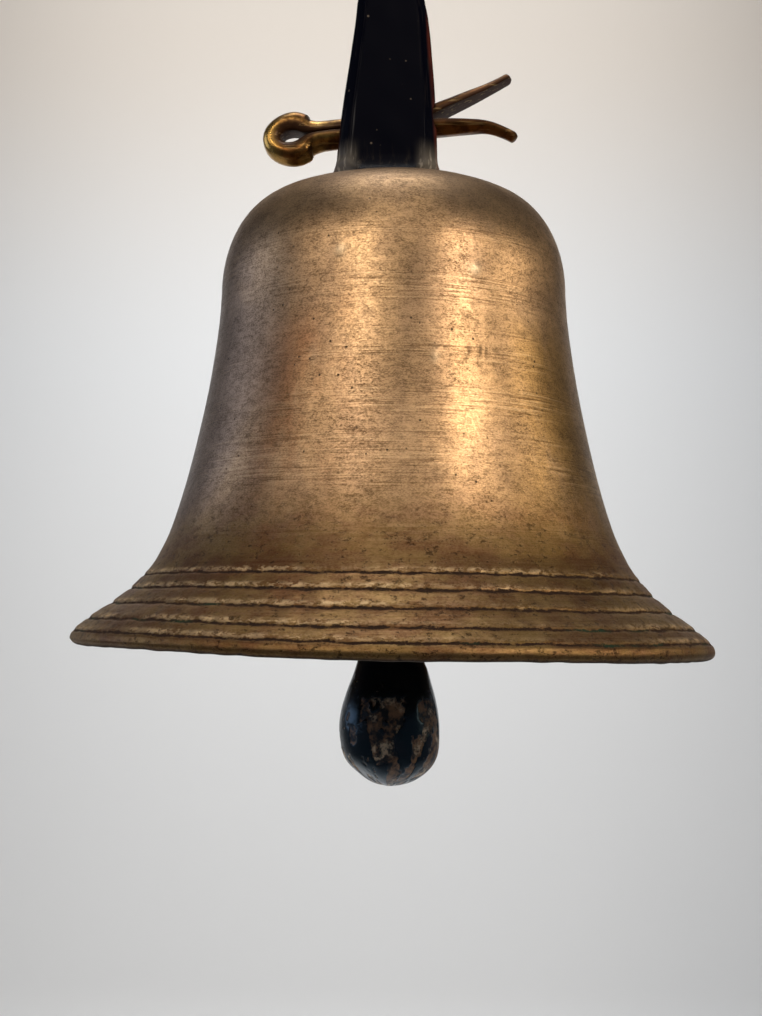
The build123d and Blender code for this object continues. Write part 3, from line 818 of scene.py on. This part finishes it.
def paint_finish(settings):
    """Gloss black paint on iron: brush drag, dust, red-brown where it is thin at the edges and painted there
    as a reflection too, a rubbed foot, and a painted highlight at the foot's corners.
    """
    f = Finish("hanger_paint", IOR=1.45, Specular_IOR_Level=0.06)
    height = f.axis("Z")
    # how far out on the bar: 0 on its middle line and 1 at its edges, which lean in as it rises
    lean = f.math("MULTIPLY", f.less(height, MOUTH_Z + 94 * MM), 0.075)
    half = f.less(10.6 * MM, lean)
    reach = f.math("DIVIDE", f.math("ABSOLUTE", f.plus(f.axis("X"), 1.45 * MM)), half)
    bar = f.ramp(height, MOUTH_Z + 137 * MM, MOUTH_Z + 130 * MM)
    low = f.ramp(height, MOUTH_Z + 104 * MM, MOUTH_Z + 96 * MM)
    foot = f.ramp(height, MOUTH_Z + 100 * MM, MOUTH_Z + 95 * MM)

    # red-brown at the bar's edges: paint worn thin, and a painted reflection along them
    worn = f.times(f.ramp(reach, 0.94, 1.02), bar, f.ramp(f.noise(160, 4, 0.6, (1, 1, 0.25)), 0.40, 0.62))
    dust = f.times(f.ramp(f.dots(420), 0.15, 0.06), f.ramp(f.noise(150, 2), 0.54, 0.62))
    drag = f.ramp(f.noise(1, 3, 0.6, (1100, 1100, 30)), 0.50, 0.72)
    rubbed = f.times(f.most(f.times(low, 0.5), f.times(f.ramp(reach, 0.74, 0.80), 0.2)), drag)
    # a pale streaked highlight painted at the foot of the bar, strongest towards its edges
    corner = f.times(low, f.ramp(reach, 0.50, 0.80), f.plus(0.35, f.times(drag, 0.65)))
    colour = f.mix(f.times(worn, 0.85), (*settings.paint, 1), THIN_PAINT_AND_EDGE_REFLECTION)
    colour = f.mix(f.times(dust, 0.8), colour, DUST)
    colour = f.mix(rubbed, colour, RUBBED_PAINT)
    colour = f.mix(f.times(corner, 0.85), colour, PAINTED_FOOT_HIGHLIGHT)
    rough = f.plus(0.13, f.times(f.noise(40, 3), 0.06))
    rough = f.plus(rough, f.times(f.most(foot, f.most(dust, rubbed)), 0.3))
    bumps = f.plus(f.noise(260, 3, 0.5, (1, 1, 0.3)), f.times(dust, 0.5))
    return f.done(Base_Color=colour, Roughness=rough, Normal=f.bump(bumps, 0.03 * MM, 0.4))


class SHIPBELL_OT_hanger(bpy.types.Operator):
    """Make the hanger"""

    bl_idname = "shipbell.hanger"
    bl_label = "Hanger"

    def execute(self, context):
        settings = context.scene.shipbell_hanger
        place_piece(
            "hanger_bar", hanger_mesh(settings), paint_finish(settings), BELL_BODY, "hanger"
        )
        return {"FINISHED"}


# ---- Big split pin -----------------------------------------------------------------------

PIN_MIDDLE = np.array([-1.3 * MM, 0, MOUTH_Z + 107.9 * MM])
PIN_CLIMB = 5.0
PIN_YAW = 5.0
PIN_TWIST = 8.0
PIN_TURN = (
    Matrix.Rotation(math.radians(-PIN_YAW), 3, "Z")
    @ Matrix.Rotation(math.radians(-PIN_CLIMB), 3, "Y")
    @ Matrix.Rotation(math.radians(-PIN_TWIST), 3, "X")
)
PIN_ALONG, PIN_BACK, PIN_UP = (np.array(PIN_TURN.col[axis]) for axis in range(3))
BORE_STATIONS = (-24, -10.8, -6.4, 6.4, 10.8, 24)
BORE_RADII = (4.6, 4.6, 3.15, 3.15, 4.6, 4.6)

# the half-round wire, in millimetres; its edges are rounder in the eye
WIRE_RADIUS = 2.95
WIRE_EDGES = (0.45, 1.45)
SLIT = 0.12
EYE_AT = -20.4
EYE_INSIDE = (2.2, 1.36)
EYE_NECK = 3.4
# how much thicker the wire is in the eye, and how much of that it loses at the eye's end
EYE_THICKER = 0.55
END_THINNER = 0.23
LEG_THINNER = 0.08
TIP_ROUND = 0.7
SPREAD_AT = 6.2
UPPER_BENDS = ((6.0, 23.5), (110.0, -3.5), (120.0, 6.0))
LOWER_BENDS = ((80.0, 1.5), (80.0, 7.5), (12.0, 21.0), (30.0, 8.5))
BEND_STEPS = 16

HANDLED_DARK = (0.045, 0.013, 0.005, 1)
HANDLED_BROWN = (0.15, 0.055, 0.016, 1)
FLAT_BROWN = (0.055, 0.022, 0.009, 1)
SCUFFED_BRASS = (0.80, 0.52, 0.20, 1)


class PinSettings(bpy.types.PropertyGroup):
    """What a user would change on the split pin."""

    brass: bpy.props.FloatVectorProperty(
        name="Brass", description="Colour of the polished brass", subtype="COLOR", size=3,
        default=(0.70, 0.42, 0.11), min=0, max=1,
    )
    tip_scale: bpy.props.FloatProperty(
        name="Tip size", description="Thickness of the legs' tips against the shank",
        default=0.56, min=0.1, max=1,
    )


def bent_line(start, bends, side):
    """Arcs end to end from a level start: each bend is (radius, degrees); side is 1 for up, -1 for down."""
    line, heading = np.array([start], float), 0.0
    for radius, degrees in bends:
        turn = math.radians(degrees)
        turns = heading + side * turn * np.linspace(0, 1, BEND_STEPS + 1)
        between = (turns[1:] + turns[:-1]) / 2
        moves = radius * abs(turn) / BEND_STEPS * np.stack([np.cos(between), np.sin(between)], 1)
        line = np.vstack([line, line[-1] + np.cumsum(moves, 0)])
        heading = turns[-1]
    return line


def pin_line():
    """The line of the wire's flat: from the lower leg's tip, round the eye, to the upper leg's tip.

    Round the eye it is made less tall, by a smooth step that makes the hole leaf-shaped.
    """
    wide, tall = EYE_INSIDE
    joint = math.sqrt((EYE_NECK + wide) ** 2 - (EYE_NECK + SLIT) ** 2)
    turn = math.degrees(math.asin((EYE_NECK + SLIT) / (EYE_NECK + wide)))
    neck_at = EYE_AT + joint
    lower = bent_line((SPREAD_AT, -SLIT), LOWER_BENDS, -1)[::-1]
    neck = elbow((neck_at, -EYE_NECK - SLIT), EYE_NECK, EYE_NECK, 90, 180 - turn, 12)
    eye = elbow((EYE_AT, 0), wide, wide, 360 - turn, turn, 60)
    upper_neck = neck[::-1] * (1, -1)
    upper = bent_line((SPREAD_AT, SLIT), UPPER_BENDS, 1)
    line = chain(lower, [(-5.0, -SLIT)], neck, eye, upper_neck, [(-5.0, SLIT)], upper)
    taller = 1 + (tall / wide - 1) * smoothstep(-line[:, 0], -(EYE_AT + joint), -(EYE_AT + 1))
    line[:, 1] *= taller
    return spaced(line, 420)


def wire_section(edge, count=40):
    """Half a disc of radius 1 with rounded corners, as (out from the flat, across the wire)."""
    round_side = elbow((0, edge), 1.0, 1.0 - edge, 0, 180, count)
    left = elbow((-1 + edge, edge), edge, edge, 180, 270, 8)
    right = elbow((1 - edge, edge), edge, edge, 270, 360, 8)
    loop = np.vstack([round_side[:-1], left, right[:-1]])
    return loop[:, 1], loop[:, 0]


def pin_mesh(settings):
    """The half-round wire swept along its line, thinning along the legs and rounded off at both tips.

    A point of the section stands out from the line along its normal and across it along the pin's third axis.
    """
    line = pin_line()
    slope = np.gradient(line, axis=0)
    slope = slope / np.linalg.norm(slope, axis=1)[:, None]
    out = np.stack([-slope[:, 1], slope[:, 0]], 1)
    step = np.linalg.norm(np.diff(line, axis=0), axis=1)
    gone = np.concatenate([[0], np.cumsum(step)])
    to_tip = np.minimum(gone, gone[-1] - gone)
    thin = 1 - LEG_THINNER * smoothstep(line[:, 0], 3.0, 10.5)
    thin = thin - (1 - LEG_THINNER - settings.tip_scale) * smoothstep(line[:, 0], 9.0, 26.0)
    tip = np.sqrt(np.clip(1 - (1 - np.clip(to_tip / TIP_ROUND, 0, 1)) ** 2, 0.004, 1))
    size = (WIRE_RADIUS * thin * tip)[:, None]
    eye = smoothstep(-line[:, :1], 13.6, 19.4)
    end = smoothstep(-line[:, :1], 19.5, 22.5)
    sharp, soft = (np.stack(wire_section(edge / WIRE_RADIUS)) for edge in WIRE_EDGES)
    outward = sharp[0] * (1 - eye) + soft[0] * eye
    across = sharp[1] * (1 - eye) + soft[1] * eye
    columns = outward.shape[1]
    turn = np.linspace(0, TURN, columns, endpoint=False)[None, :]
    dents = 1 + 0.02 * ripple(31, turn, gone[:, None] * 0.5, 16, 0, 4, 1.0)
    reach = size * outward * dents * (1 + EYE_THICKER * eye - END_THINNER * end)
    flat_x = line[:, :1] + reach * out[:, :1]
    flat_y = line[:, 1:] + reach * out[:, 1:]
    offsets = flat_x[..., None] * PIN_ALONG + flat_y[..., None] * PIN_UP
    offsets = offsets + (size * across)[..., None] * PIN_BACK
    rows = len(line)
    points = PIN_MIDDLE + MM * offsets
    mesh = make_mesh("split_pin_wire", points, wrapped_quads(rows, columns), end_rings(rows, columns))
    store(mesh, "legs", np.broadcast_to(smoothstep(line[:, :1], 6.0, 12.0), reach.shape))
    store(mesh, "flat", smoothstep(-outward, -0.55, -0.10))
    store(mesh, "end", smoothstep(-flat_x, 21.5, 25.5))
    return mesh


def brass_finish(settings):
    """Drawn brass: rubbed bright and painted as a highlight on the eye's end, brown with handling on the flat
    and along the legs.
    """
    f = Finish("split_pin_brass", Specular_IOR_Level=0.2)
    flat = f.stored("flat")
    patches = f.ramp(f.noise(150, 5, 0.65), 0.30, 0.52)
    handled = f.most(f.times(f.stored("legs"), 0.95), f.plus(0.45, f.times(patches, 0.5)))
    # the eye's end is left bright brass, rubbed bright and also a painted highlight
    handled = f.times(handled, f.less(1.0, f.times(f.stored("end"), 0.8)))
    scuffs = f.ramp(f.noise(1, 3, 0.6, (90, 1500, 1500)), 0.56, 0.70)
    brown = f.mix(f.ramp(f.noise(420, 4), 0.4, 0.62), HANDLED_DARK, HANDLED_BROWN)
    colour = f.mix(handled, (*settings.brass, 1), brown)
    colour = f.mix(f.times(flat, 0.9), colour, FLAT_BROWN)
    colour = f.mix(f.times(scuffs, 0.3), colour, SCUFFED_BRASS)
    rough = f.plus(0.17, f.times(f.most(handled, flat), 0.22))
    metal = f.less(1.0, f.times(flat, 0.75))
    height = f.plus(f.noise(500, 4, 0.6), f.times(scuffs, 0.5))
    return f.done(Base_Color=colour, Roughness=rough, Metallic=metal, Normal=f.bump(height, 0.06 * MM, 0.6))


class SHIPBELL_OT_split_pin(bpy.types.Operator):
    """Make the big split pin"""

    bl_idname = "shipbell.split_pin"
    bl_label = "Split Pin"

    def execute(self, context):
        settings = context.scene.shipbell_pin
        place_piece(
            "split_pin_wire", pin_mesh(settings), brass_finish(settings), BELL_BODY,
            "split_pin",
        )
        return {"FINISHED"}


# ---- Clapper -----------------------------------------------------------------------------

STEM_OUTLINE = ((3.0, 64.9), (3.6, 63.6), (3.65, 50.0), (3.85, 30.0), (4.1, 16.0), (4.6, 8.0), (5.35, 3.0))
BALL_OUTLINE = ((6.05, 0.0), (7.35, -4.6), (8.75, -9.0), (9.6, -13.2), (9.85, -17.0), (9.45, -21.0))
BALL_END = ((7.8, -23.8), (5.1, -25.8), (2.5, -26.8), (0.35, -27.0))
TANG_RADIUS = 6.0
TANG_DOWN = 9.5
TANG_HALF_WIDTH = 3.6
TANG_HALF_DEPTH = 3.0
BUSH_RADIUS = 3.2
TANG_SQUARENESS = 6.0
CLAPPER_COLUMNS = 200

# how far each part of the clapper is out of round, in millimetres
SWELL = 0.10
FLAT_DEPTH = 0.35
COLLAR_RISE = 0.16
LEFT_FULLER = 0.55
LEFT_TAPER = 0.4

RUST_DARK = (0.020, 0.010, 0.006, 1)
RUST_BROWN = (0.36, 0.19, 0.090, 1)
RUST_PALE = (0.85, 0.64, 0.42, 1)
PAINT_HAZE = (0.05, 0.024, 0.026, 1)
PAINT_FLECK = (0.16, 0.095, 0.055, 1)


class ClapperSettings(bpy.types.PropertyGroup):
    """What a user would change on the clapper."""

    paint: bpy.props.FloatVectorProperty(
        name="Paint", description="Colour of the gloss paint", subtype="COLOR", size=3,
        default=(0.004, 0.004, 0.006), min=0, max=1,
    )
    chip_depth: bpy.props.FloatProperty(
        name="Chip depth", description="Thickness of the paint at its chips", unit="LENGTH",
        default=0.13 * MM,
    )


def chipped_weight(height, around):
    """1 where the ball's paint is chipped off: seeded patches, most of them on the front."""
    front = 0.5 - 0.5 * np.cos(around - math.radians(110))
    patch = ripple(52, around, height * 0.75, 34, 2, 16, 1.0)
    patch = patch + 0.35 * ripple(53, around, height * 2.6, 34, 12, 46, 1.0)
    return smoothstep(patch + 1.9 * front - 1.2, 0.0, 0.9) * smoothstep(-height, 7.0, 13.0)


def tang_mesh():
    """The flat eye that hangs on the pin: a ring whose lower half is squared off where the stem joins it."""
    angle = np.linspace(0, TURN, 128, endpoint=False)
    down = np.clip(-np.sin(angle), 1e-6, 1)
    slab = np.minimum(TANG_DOWN / down, TANG_HALF_WIDTH / np.maximum(np.abs(np.cos(angle)), 1e-6))
    outline = np.where(np.sin(angle) < 0, np.maximum(TANG_RADIUS, slab), TANG_RADIUS) * MM
    return loop_mesh("tang", PIVOT, outline, BUSH_RADIUS * MM, TANG_HALF_DEPTH * MM, TANG_SQUARENESS)


def clapper_mesh(settings):
    """Stem and ball turned about the axis, put out of round, pushed in at the chips and joined to the tang.

    A point at angle a is (r cos a, r sin a, h), moved along the outline's normal. The line runs down, so its
    normals point inwards.
    """
    line = spaced(smooth_line([*STEM_OUTLINE, *BALL_OUTLINE, *BALL_END], 900), 300)
    around = np.linspace(0, TURN, CLAPPER_COLUMNS, endpoint=False)[None, :]
    radius, height = line[:, :1], line[:, 1:]
    push = SWELL * ripple(51, around, height * 0.12, 8, 1, 4, 1.0) * smoothstep(-height, 0.0, 12.0)
    flat = np.exp(-(((around - math.radians(205)) / 0.5) ** 2)) * np.exp(-(((height + 21) / 5) ** 2))
    push = push - FLAT_DEPTH * flat
    collar = smoothstep(-height, 2.6, 4.0) * smoothstep(height, -8.0, -4.5)
    push = push + COLLAR_RISE * collar * smoothstep(np.cos(around), 0, 0.6)
    fuller = LEFT_FULLER * np.exp(-(((height + 15) / 7) ** 2))
    taper = LEFT_TAPER * np.exp(-(((height + 24.5) / 2.2) ** 2))
    push = push + smoothstep(-np.cos(around), 0.0, 1.0) * (fuller - taper)
    bare = chipped_weight(height, around)
    push = (push - settings.chip_depth / MM * bare) * smoothstep(radius, 0.3, 5.0)
    normal = outward_normals(line)
    shape = grid(radius * np.cos(around), radius * np.sin(around), height)
    inward = grid(normal[:, :1] * np.cos(around), normal[:, :1] * np.sin(around), normal[:, 1:])
    points = (shape - push[..., None] * inward) * MM + np.array([0, 0, MOUTH_Z])
    rows, columns = len(line), CLAPPER_COLUMNS
    quads = wrapped_quads(rows, columns)[:, ::-1]
    mesh = make_mesh("clapper_forging", points, quads, end_rings(rows, columns, downward=True))
    store(mesh, "bare", bare)
    return cut_and_join(mesh, [("UNION", tang_mesh())])


def chipped_finish(settings):
    """Gloss black paint with a brown haze and a painted blue sheen in its reflections, worn down in mottled
    patches to rusty iron, and flecked.
    """
    # the specular tint paints a blue sheen into the paint's reflections
    f = Finish("clapper_paint", IOR=1.5, Specular_IOR_Level=0.6, Specular_Tint=(0.42, 0.75, 1.0, 1))
    fine = f.noise(520, 5, 0.72)
    bare = f.ramp(f.plus(f.stored("bare"), f.times(fine, 0.8)), 0.62, 1.05)
    pale = f.times(f.ramp(f.noise(230, 4, 0.6), 0.52, 0.62), f.ramp(fine, 0.45, 0.60))
    haze = f.times(f.ramp(f.noise(140, 3), 0.46, 0.66), 0.25)
    fleck = f.times(f.ramp(f.dots(380), 0.16, 0.08), f.ramp(f.noise(110, 2), 0.52, 0.6))
    rust = f.mix(f.ramp(f.noise(360, 5, 0.7), 0.42, 0.62), RUST_DARK, RUST_BROWN)
    rust = f.mix(f.times(pale, 0.9), rust, RUST_PALE)
    colour = f.mix(haze, (*settings.paint, 1), PAINT_HAZE)
    colour = f.mix(bare, colour, rust)
    colour = f.mix(f.times(fleck, 0.6), colour, PAINT_FLECK)
    rough = f.plus(0.24, f.times(f.most(bare, fleck), 0.24))
    height = f.less(f.times(f.noise(260, 3), 0.6), f.times(f.plus(bare, pale), 0.6))
    return f.done(Base_Color=colour, Roughness=rough, Normal=f.bump(height, 0.10 * MM, 0.7))


class SHIPBELL_OT_clapper(bpy.types.Operator):
    """Make the clapper"""

    bl_idname = "shipbell.clapper"
    bl_label = "Clapper"

    def execute(self, context):
        settings = context.scene.shipbell_clapper
        place_piece(
            "clapper_forging", clapper_mesh(settings), chipped_finish(settings), CLAPPER_BODY,
            "clapper",
        )
        return {"FINISHED"}


# ---- Fittings that keep their CAD shape --------------------------------------------------


class FittingSettings(bpy.types.PropertyGroup):
    """What a user would change on the small fittings."""

    leather: bpy.props.FloatVectorProperty(
        name="Leather", description="Colour of the leather washers", subtype="COLOR", size=3,
        default=(0.20, 0.105, 0.05), min=0, max=1,
    )
    iron: bpy.props.FloatVectorProperty(
        name="Iron", description="Colour of the forged staple", subtype="COLOR", size=3,
        default=(0.055, 0.048, 0.042), min=0, max=1,
    )


def leather_finish(settings):
    """Oiled leather: fine creases and pores, darker where it has soaked up dirt."""
    f = Finish("washer_leather", Specular_IOR_Level=0.4)
    soaked = f.ramp(f.noise(130, 4), 0.4, 0.65)
    dark = [channel * 0.4 for channel in settings.leather]
    colour = f.mix(soaked, (*settings.leather, 1), (*dark, 1))
    height = f.plus(f.dots(900, jitter=0.9), f.times(f.noise(1800, 3), 0.4))
    rough = f.plus(0.52, f.times(soaked, 0.2))
    return f.done(Base_Color=colour, Roughness=rough, Normal=f.bump(height, 0.12 * MM, 0.7))


def iron_finish(settings):
    """Forged iron with scale: dark, uneven, with rust in its hollows."""
    f = Finish("staple_iron", Metallic=0.65)
    rust = f.ramp(f.noise(210, 5, 0.65), 0.50, 0.66)
    colour = f.mix(f.times(rust, 0.8), (*settings.iron, 1), (0.15, 0.055, 0.022, 1))
    rough = f.plus(0.42, f.times(rust, 0.3))
    height = f.plus(f.noise(300, 4, 0.6), f.times(rust, 0.4))
    return f.done(Base_Color=colour, Roughness=rough, Normal=f.bump(height, 0.14 * MM, 0.7))


def metal_finish(name, bright, dull, stretch):
    """Machined metal with dull patches, and with tool marks packed closest along the most stretched axis."""
    f = Finish(name, Metallic=1.0)
    patches = f.ramp(f.noise(240, 4, 0.6), 0.42, 0.64)
    lines = f.noise(1, 3, 0.6, stretch)
    colour = f.mix(f.times(patches, 0.7), (*bright, 1), (*dull, 1))
    colour = f.mix(f.times(f.ramp(lines, 0.5, 0.8), 0.3), colour, (*dull, 1))
    rough = f.plus(0.24, f.times(patches, 0.22))
    return f.done(Base_Color=colour, Roughness=rough, Normal=f.bump(lines, 0.04 * MM, 0.6))


class SHIPBELL_OT_fittings(bpy.types.Operator):
    """Give the washers, the staple, the clapper pin and its keeper their finishes"""

    bl_idname = "shipbell.fittings"
    bl_label = "Fittings"

    def execute(self, context):
        settings = context.scene.shipbell_fittings
        leather = leather_finish(settings)
        steel = metal_finish("washer_steel", (0.45, 0.44, 0.42), (0.17, 0.13, 0.10), (500, 500, 500))
        pin_steel = metal_finish("pin_steel", (0.42, 0.41, 0.40), (0.15, 0.12, 0.10), (40, 2500, 40))
        brass = metal_finish("cotter_brass", (0.72, 0.48, 0.18), (0.24, 0.13, 0.05), (900, 900, 90))
        bronze = metal_finish("bush_bronze", (0.55, 0.34, 0.16), (0.20, 0.11, 0.05), (60, 2500, 60))
        finishes = {
            "seat_washer": leather,
            "inner_leather": leather,
            "backing_washer": steel,
            "pin_washer": steel,
            "staple": iron_finish(settings),
            "clapper_pin": pin_steel,
            "pin_cotter": brass,
            "clapper_bush": bronze,
        }
        for node, finish in finishes.items():
            mesh = frame["nodes"][node].data
            mesh.materials.clear()
            mesh.materials.append(finish)
        return {"FINISHED"}


# ---- Stage -------------------------------------------------------------------------------

SENSOR_WIDTH = 36.0
LENS = 45.5
CAMERA_UP = 6.7
CAMERA_YAW = 0.49
CAMERA_ROLL = 0.42
# the backdrop is painted warmer and a little darker above, as warm light falling on its upper part
WARM_TINT = (0.93, 0.83, 0.73)
WARM_FROM, WARM_TO = 0.02, 0.30

# name, azimuth, elevation, distance, size, spread in degrees, power, colour
LAMPS = (
    ("right_lamp", 44, 24, 0.9, 0.18, 60, 0.24, (1.0, 0.88, 0.74)),
    ("right_fill", 82, 15, 0.9, 0.36, 60, 0.17, (1.0, 0.86, 0.66)),
    ("left_lamp", -20, 28, 1.0, 0.22, 60, 0.17, (1.0, 0.90, 0.78)),
    ("front_fill", 12, 44, 1.1, 0.80, 60, 0.16, (1.0, 0.90, 0.80)),
    ("left_fill", -50, 26, 1.1, 0.60, 60, 0.13, (1.0, 0.88, 0.78)),
    ("overhead", -10, 72, 1.0, 0.50, 60, 0.07, (1.0, 0.92, 0.84)),
    ("window", -98, 10, 1.1, 0.80, 90, 0.50, (0.66, 0.76, 1.0)),
)
WALL_LAMP_AT = (-0.03, 0.33, 0.75)
WALL_LAMP_TO = (-0.02, 0.65, -0.35)
ROOM_COLOUR = (0.55, 0.60, 0.68, 1)
ROOM_STRENGTH = 0.15


class StageSettings(bpy.types.PropertyGroup):
    """What a user would change on the stage."""

    wall: bpy.props.FloatVectorProperty(
        name="Backdrop", description="Colour of the floor and backdrop", subtype="COLOR", size=3,
        default=(0.72, 0.72, 0.715), min=0, max=1,
    )
    distance: bpy.props.FloatProperty(
        name="Camera distance", description="From the bell's axis to the camera", unit="LENGTH",
        default=0.26035,
    )
    pitch: bpy.props.FloatProperty(
        name="Pitch", description="How far the camera looks up", subtype="ANGLE", default=math.radians(4.8),
    )


def backdrop_mesh(wall_y, floor_z, bend, front_y, top_z, half_width):
    """A floor that curves up into a wall by a quarter circle, carried sideways."""
    angle = np.linspace(0, math.pi / 2, 24)
    curve_y = wall_y - bend + bend * np.sin(angle)
    curve_z = floor_z + bend - bend * np.cos(angle)
    y = np.concatenate([[front_y], curve_y, [wall_y]])
    z = np.concatenate([[floor_z], curve_z, [top_z]])
    sides = np.array([-half_width, half_width])
    points = grid(sides[None, :], y[:, None], z[:, None]).reshape(-1, 3)
    row = np.arange(len(y) - 1) * 2
    quads = np.stack([row, row + 1, row + 3, row + 2], 1)
    mesh = bpy.data.meshes.new("backdrop")
    mesh.from_pydata(points.tolist(), [], quads.tolist())
    mesh.polygons.foreach_set("use_smooth", np.ones(len(mesh.polygons), bool))
    return mesh


def add_lamp(name, place, target, size, spread, power, colour):
    """A round area lamp at a place, turned to a target, that throws its light within an angle in degrees."""
    light = bpy.data.lights.new(name, "AREA")
    light.shape = "DISK"
    light.size = size
    light.spread = math.radians(spread)
    light.energy = power
    light.color = colour
    lamp = add_object(name, light)
    lamp.location = place
    lamp.rotation_euler = (Vector(target) - Vector(place)).to_track_quat("-Z", "Y").to_euler()


def around_bell(azimuth, elevation, distance):
    """A place that looks at the bell; azimuth 0 is the camera's side and positive is to its right."""
    turn, up = math.radians(azimuth), math.radians(elevation)
    toward = np.array([math.sin(turn) * math.cos(up), -math.cos(turn) * math.cos(up), math.sin(up)])
    return BELL_MIDDLE + toward * distance


class SHIPBELL_OT_stage(bpy.types.Operator):
    """Set the camera, the backdrop and the lamps"""

    bl_idname = "shipbell.stage"
    bl_label = "Stage"

    def execute(self, context):
        scene = context.scene
        settings = scene.shipbell_stage
        data = bpy.data.cameras.new("camera")
        data.sensor_width = SENSOR_WIDTH
        data.lens = LENS
        data.clip_start = 0.01
        camera = add_object("camera", data)
        camera.location = (0, -settings.distance, MOUTH_Z + CAMERA_UP * MM)
        turn = Euler((math.pi / 2 + settings.pitch, 0, math.radians(CAMERA_YAW))).to_matrix()
        camera.rotation_euler = (turn @ Matrix.Rotation(math.radians(CAMERA_ROLL), 3, "Z")).to_euler()
        scene.camera = camera

        mesh = backdrop_mesh(wall_y=0.65, floor_z=-0.75, bend=0.35, front_y=-0.9, top_z=1.3, half_width=1.0)
        f = Finish("backdrop", Roughness=0.9)
        # painted warm light: the backdrop's colour turns warmer and darker with height
        warm = [channel * tint for channel, tint in zip(settings.wall, WARM_TINT)]
        shade = f.mix(f.ramp(f.axis("Z"), WARM_FROM, WARM_TO), (*settings.wall, 1), (*warm, 1))
        mesh.materials.append(f.done(Base_Color=shade))
        backdrop = add_object("backdrop", mesh)

        for name, azimuth, elevation, distance, size, spread, power, colour in LAMPS:
            place = around_bell(azimuth, elevation, distance)
            add_lamp(name, place, BELL_MIDDLE, size, spread, power, colour)
        add_lamp("wall_lamp", WALL_LAMP_AT, WALL_LAMP_TO, 0.7, 68, 4.3, (0.98, 0.99, 1.0))
        scene.view_settings.view_transform = "Standard"
        world = bpy.data.worlds.new("room")
        world.use_nodes = True
        world.node_tree.nodes["Background"].inputs["Color"].default_value = ROOM_COLOUR
        world.node_tree.nodes["Background"].inputs["Strength"].default_value = ROOM_STRENGTH
        scene.world = world
        return {"FINISHED"}


# ---- Panel and registration --------------------------------------------------------------


class SHIPBELL_PT_panel(bpy.types.Panel):
    """Lists the bell's pieces and their settings"""

    bl_label = "Ship's Bell"
    bl_idname = "SHIPBELL_PT_panel"
    bl_space_type = "VIEW_3D"
    bl_region_type = "UI"
    bl_category = "Bell"

    def draw(self, context):
        for operator, group, _ in STEPS:
            box = self.layout.box()
            box.operator(operator.bl_idname)
            settings = getattr(context.scene, group)
            for name in settings.bl_rna.properties.keys():
                if name not in ("rna_type", "name"):
                    box.prop(settings, name)


# each step's operator, where its settings are kept in the scene, and their class
STEPS = (
    (SHIPBELL_OT_stage, "shipbell_stage", StageSettings),
    (SHIPBELL_OT_bell, "shipbell_bell", BellSettings),
    (SHIPBELL_OT_hanger, "shipbell_hanger", HangerSettings),
    (SHIPBELL_OT_split_pin, "shipbell_pin", PinSettings),
    (SHIPBELL_OT_clapper, "shipbell_clapper", ClapperSettings),
    (SHIPBELL_OT_fittings, "shipbell_fittings", FittingSettings),
)


def register():
    for operator, group, settings in STEPS:
        bpy.utils.register_class(settings)
        bpy.utils.register_class(operator)
        setattr(bpy.types.Scene, group, bpy.props.PointerProperty(type=settings))
    bpy.utils.register_class(SHIPBELL_PT_panel)


def unregister():
    bpy.utils.unregister_class(SHIPBELL_PT_panel)
    for operator, group, settings in reversed(STEPS):
        delattr(bpy.types.Scene, group)
        bpy.utils.unregister_class(operator)
        bpy.utils.unregister_class(settings)


def main():
    register()
    bpy.ops.shipbell.stage()
    bpy.ops.shipbell.bell()
    bpy.ops.shipbell.hanger()
    bpy.ops.shipbell.split_pin()
    bpy.ops.shipbell.clapper()
    bpy.ops.shipbell.fittings()


if __name__ == "__main__":
    main()
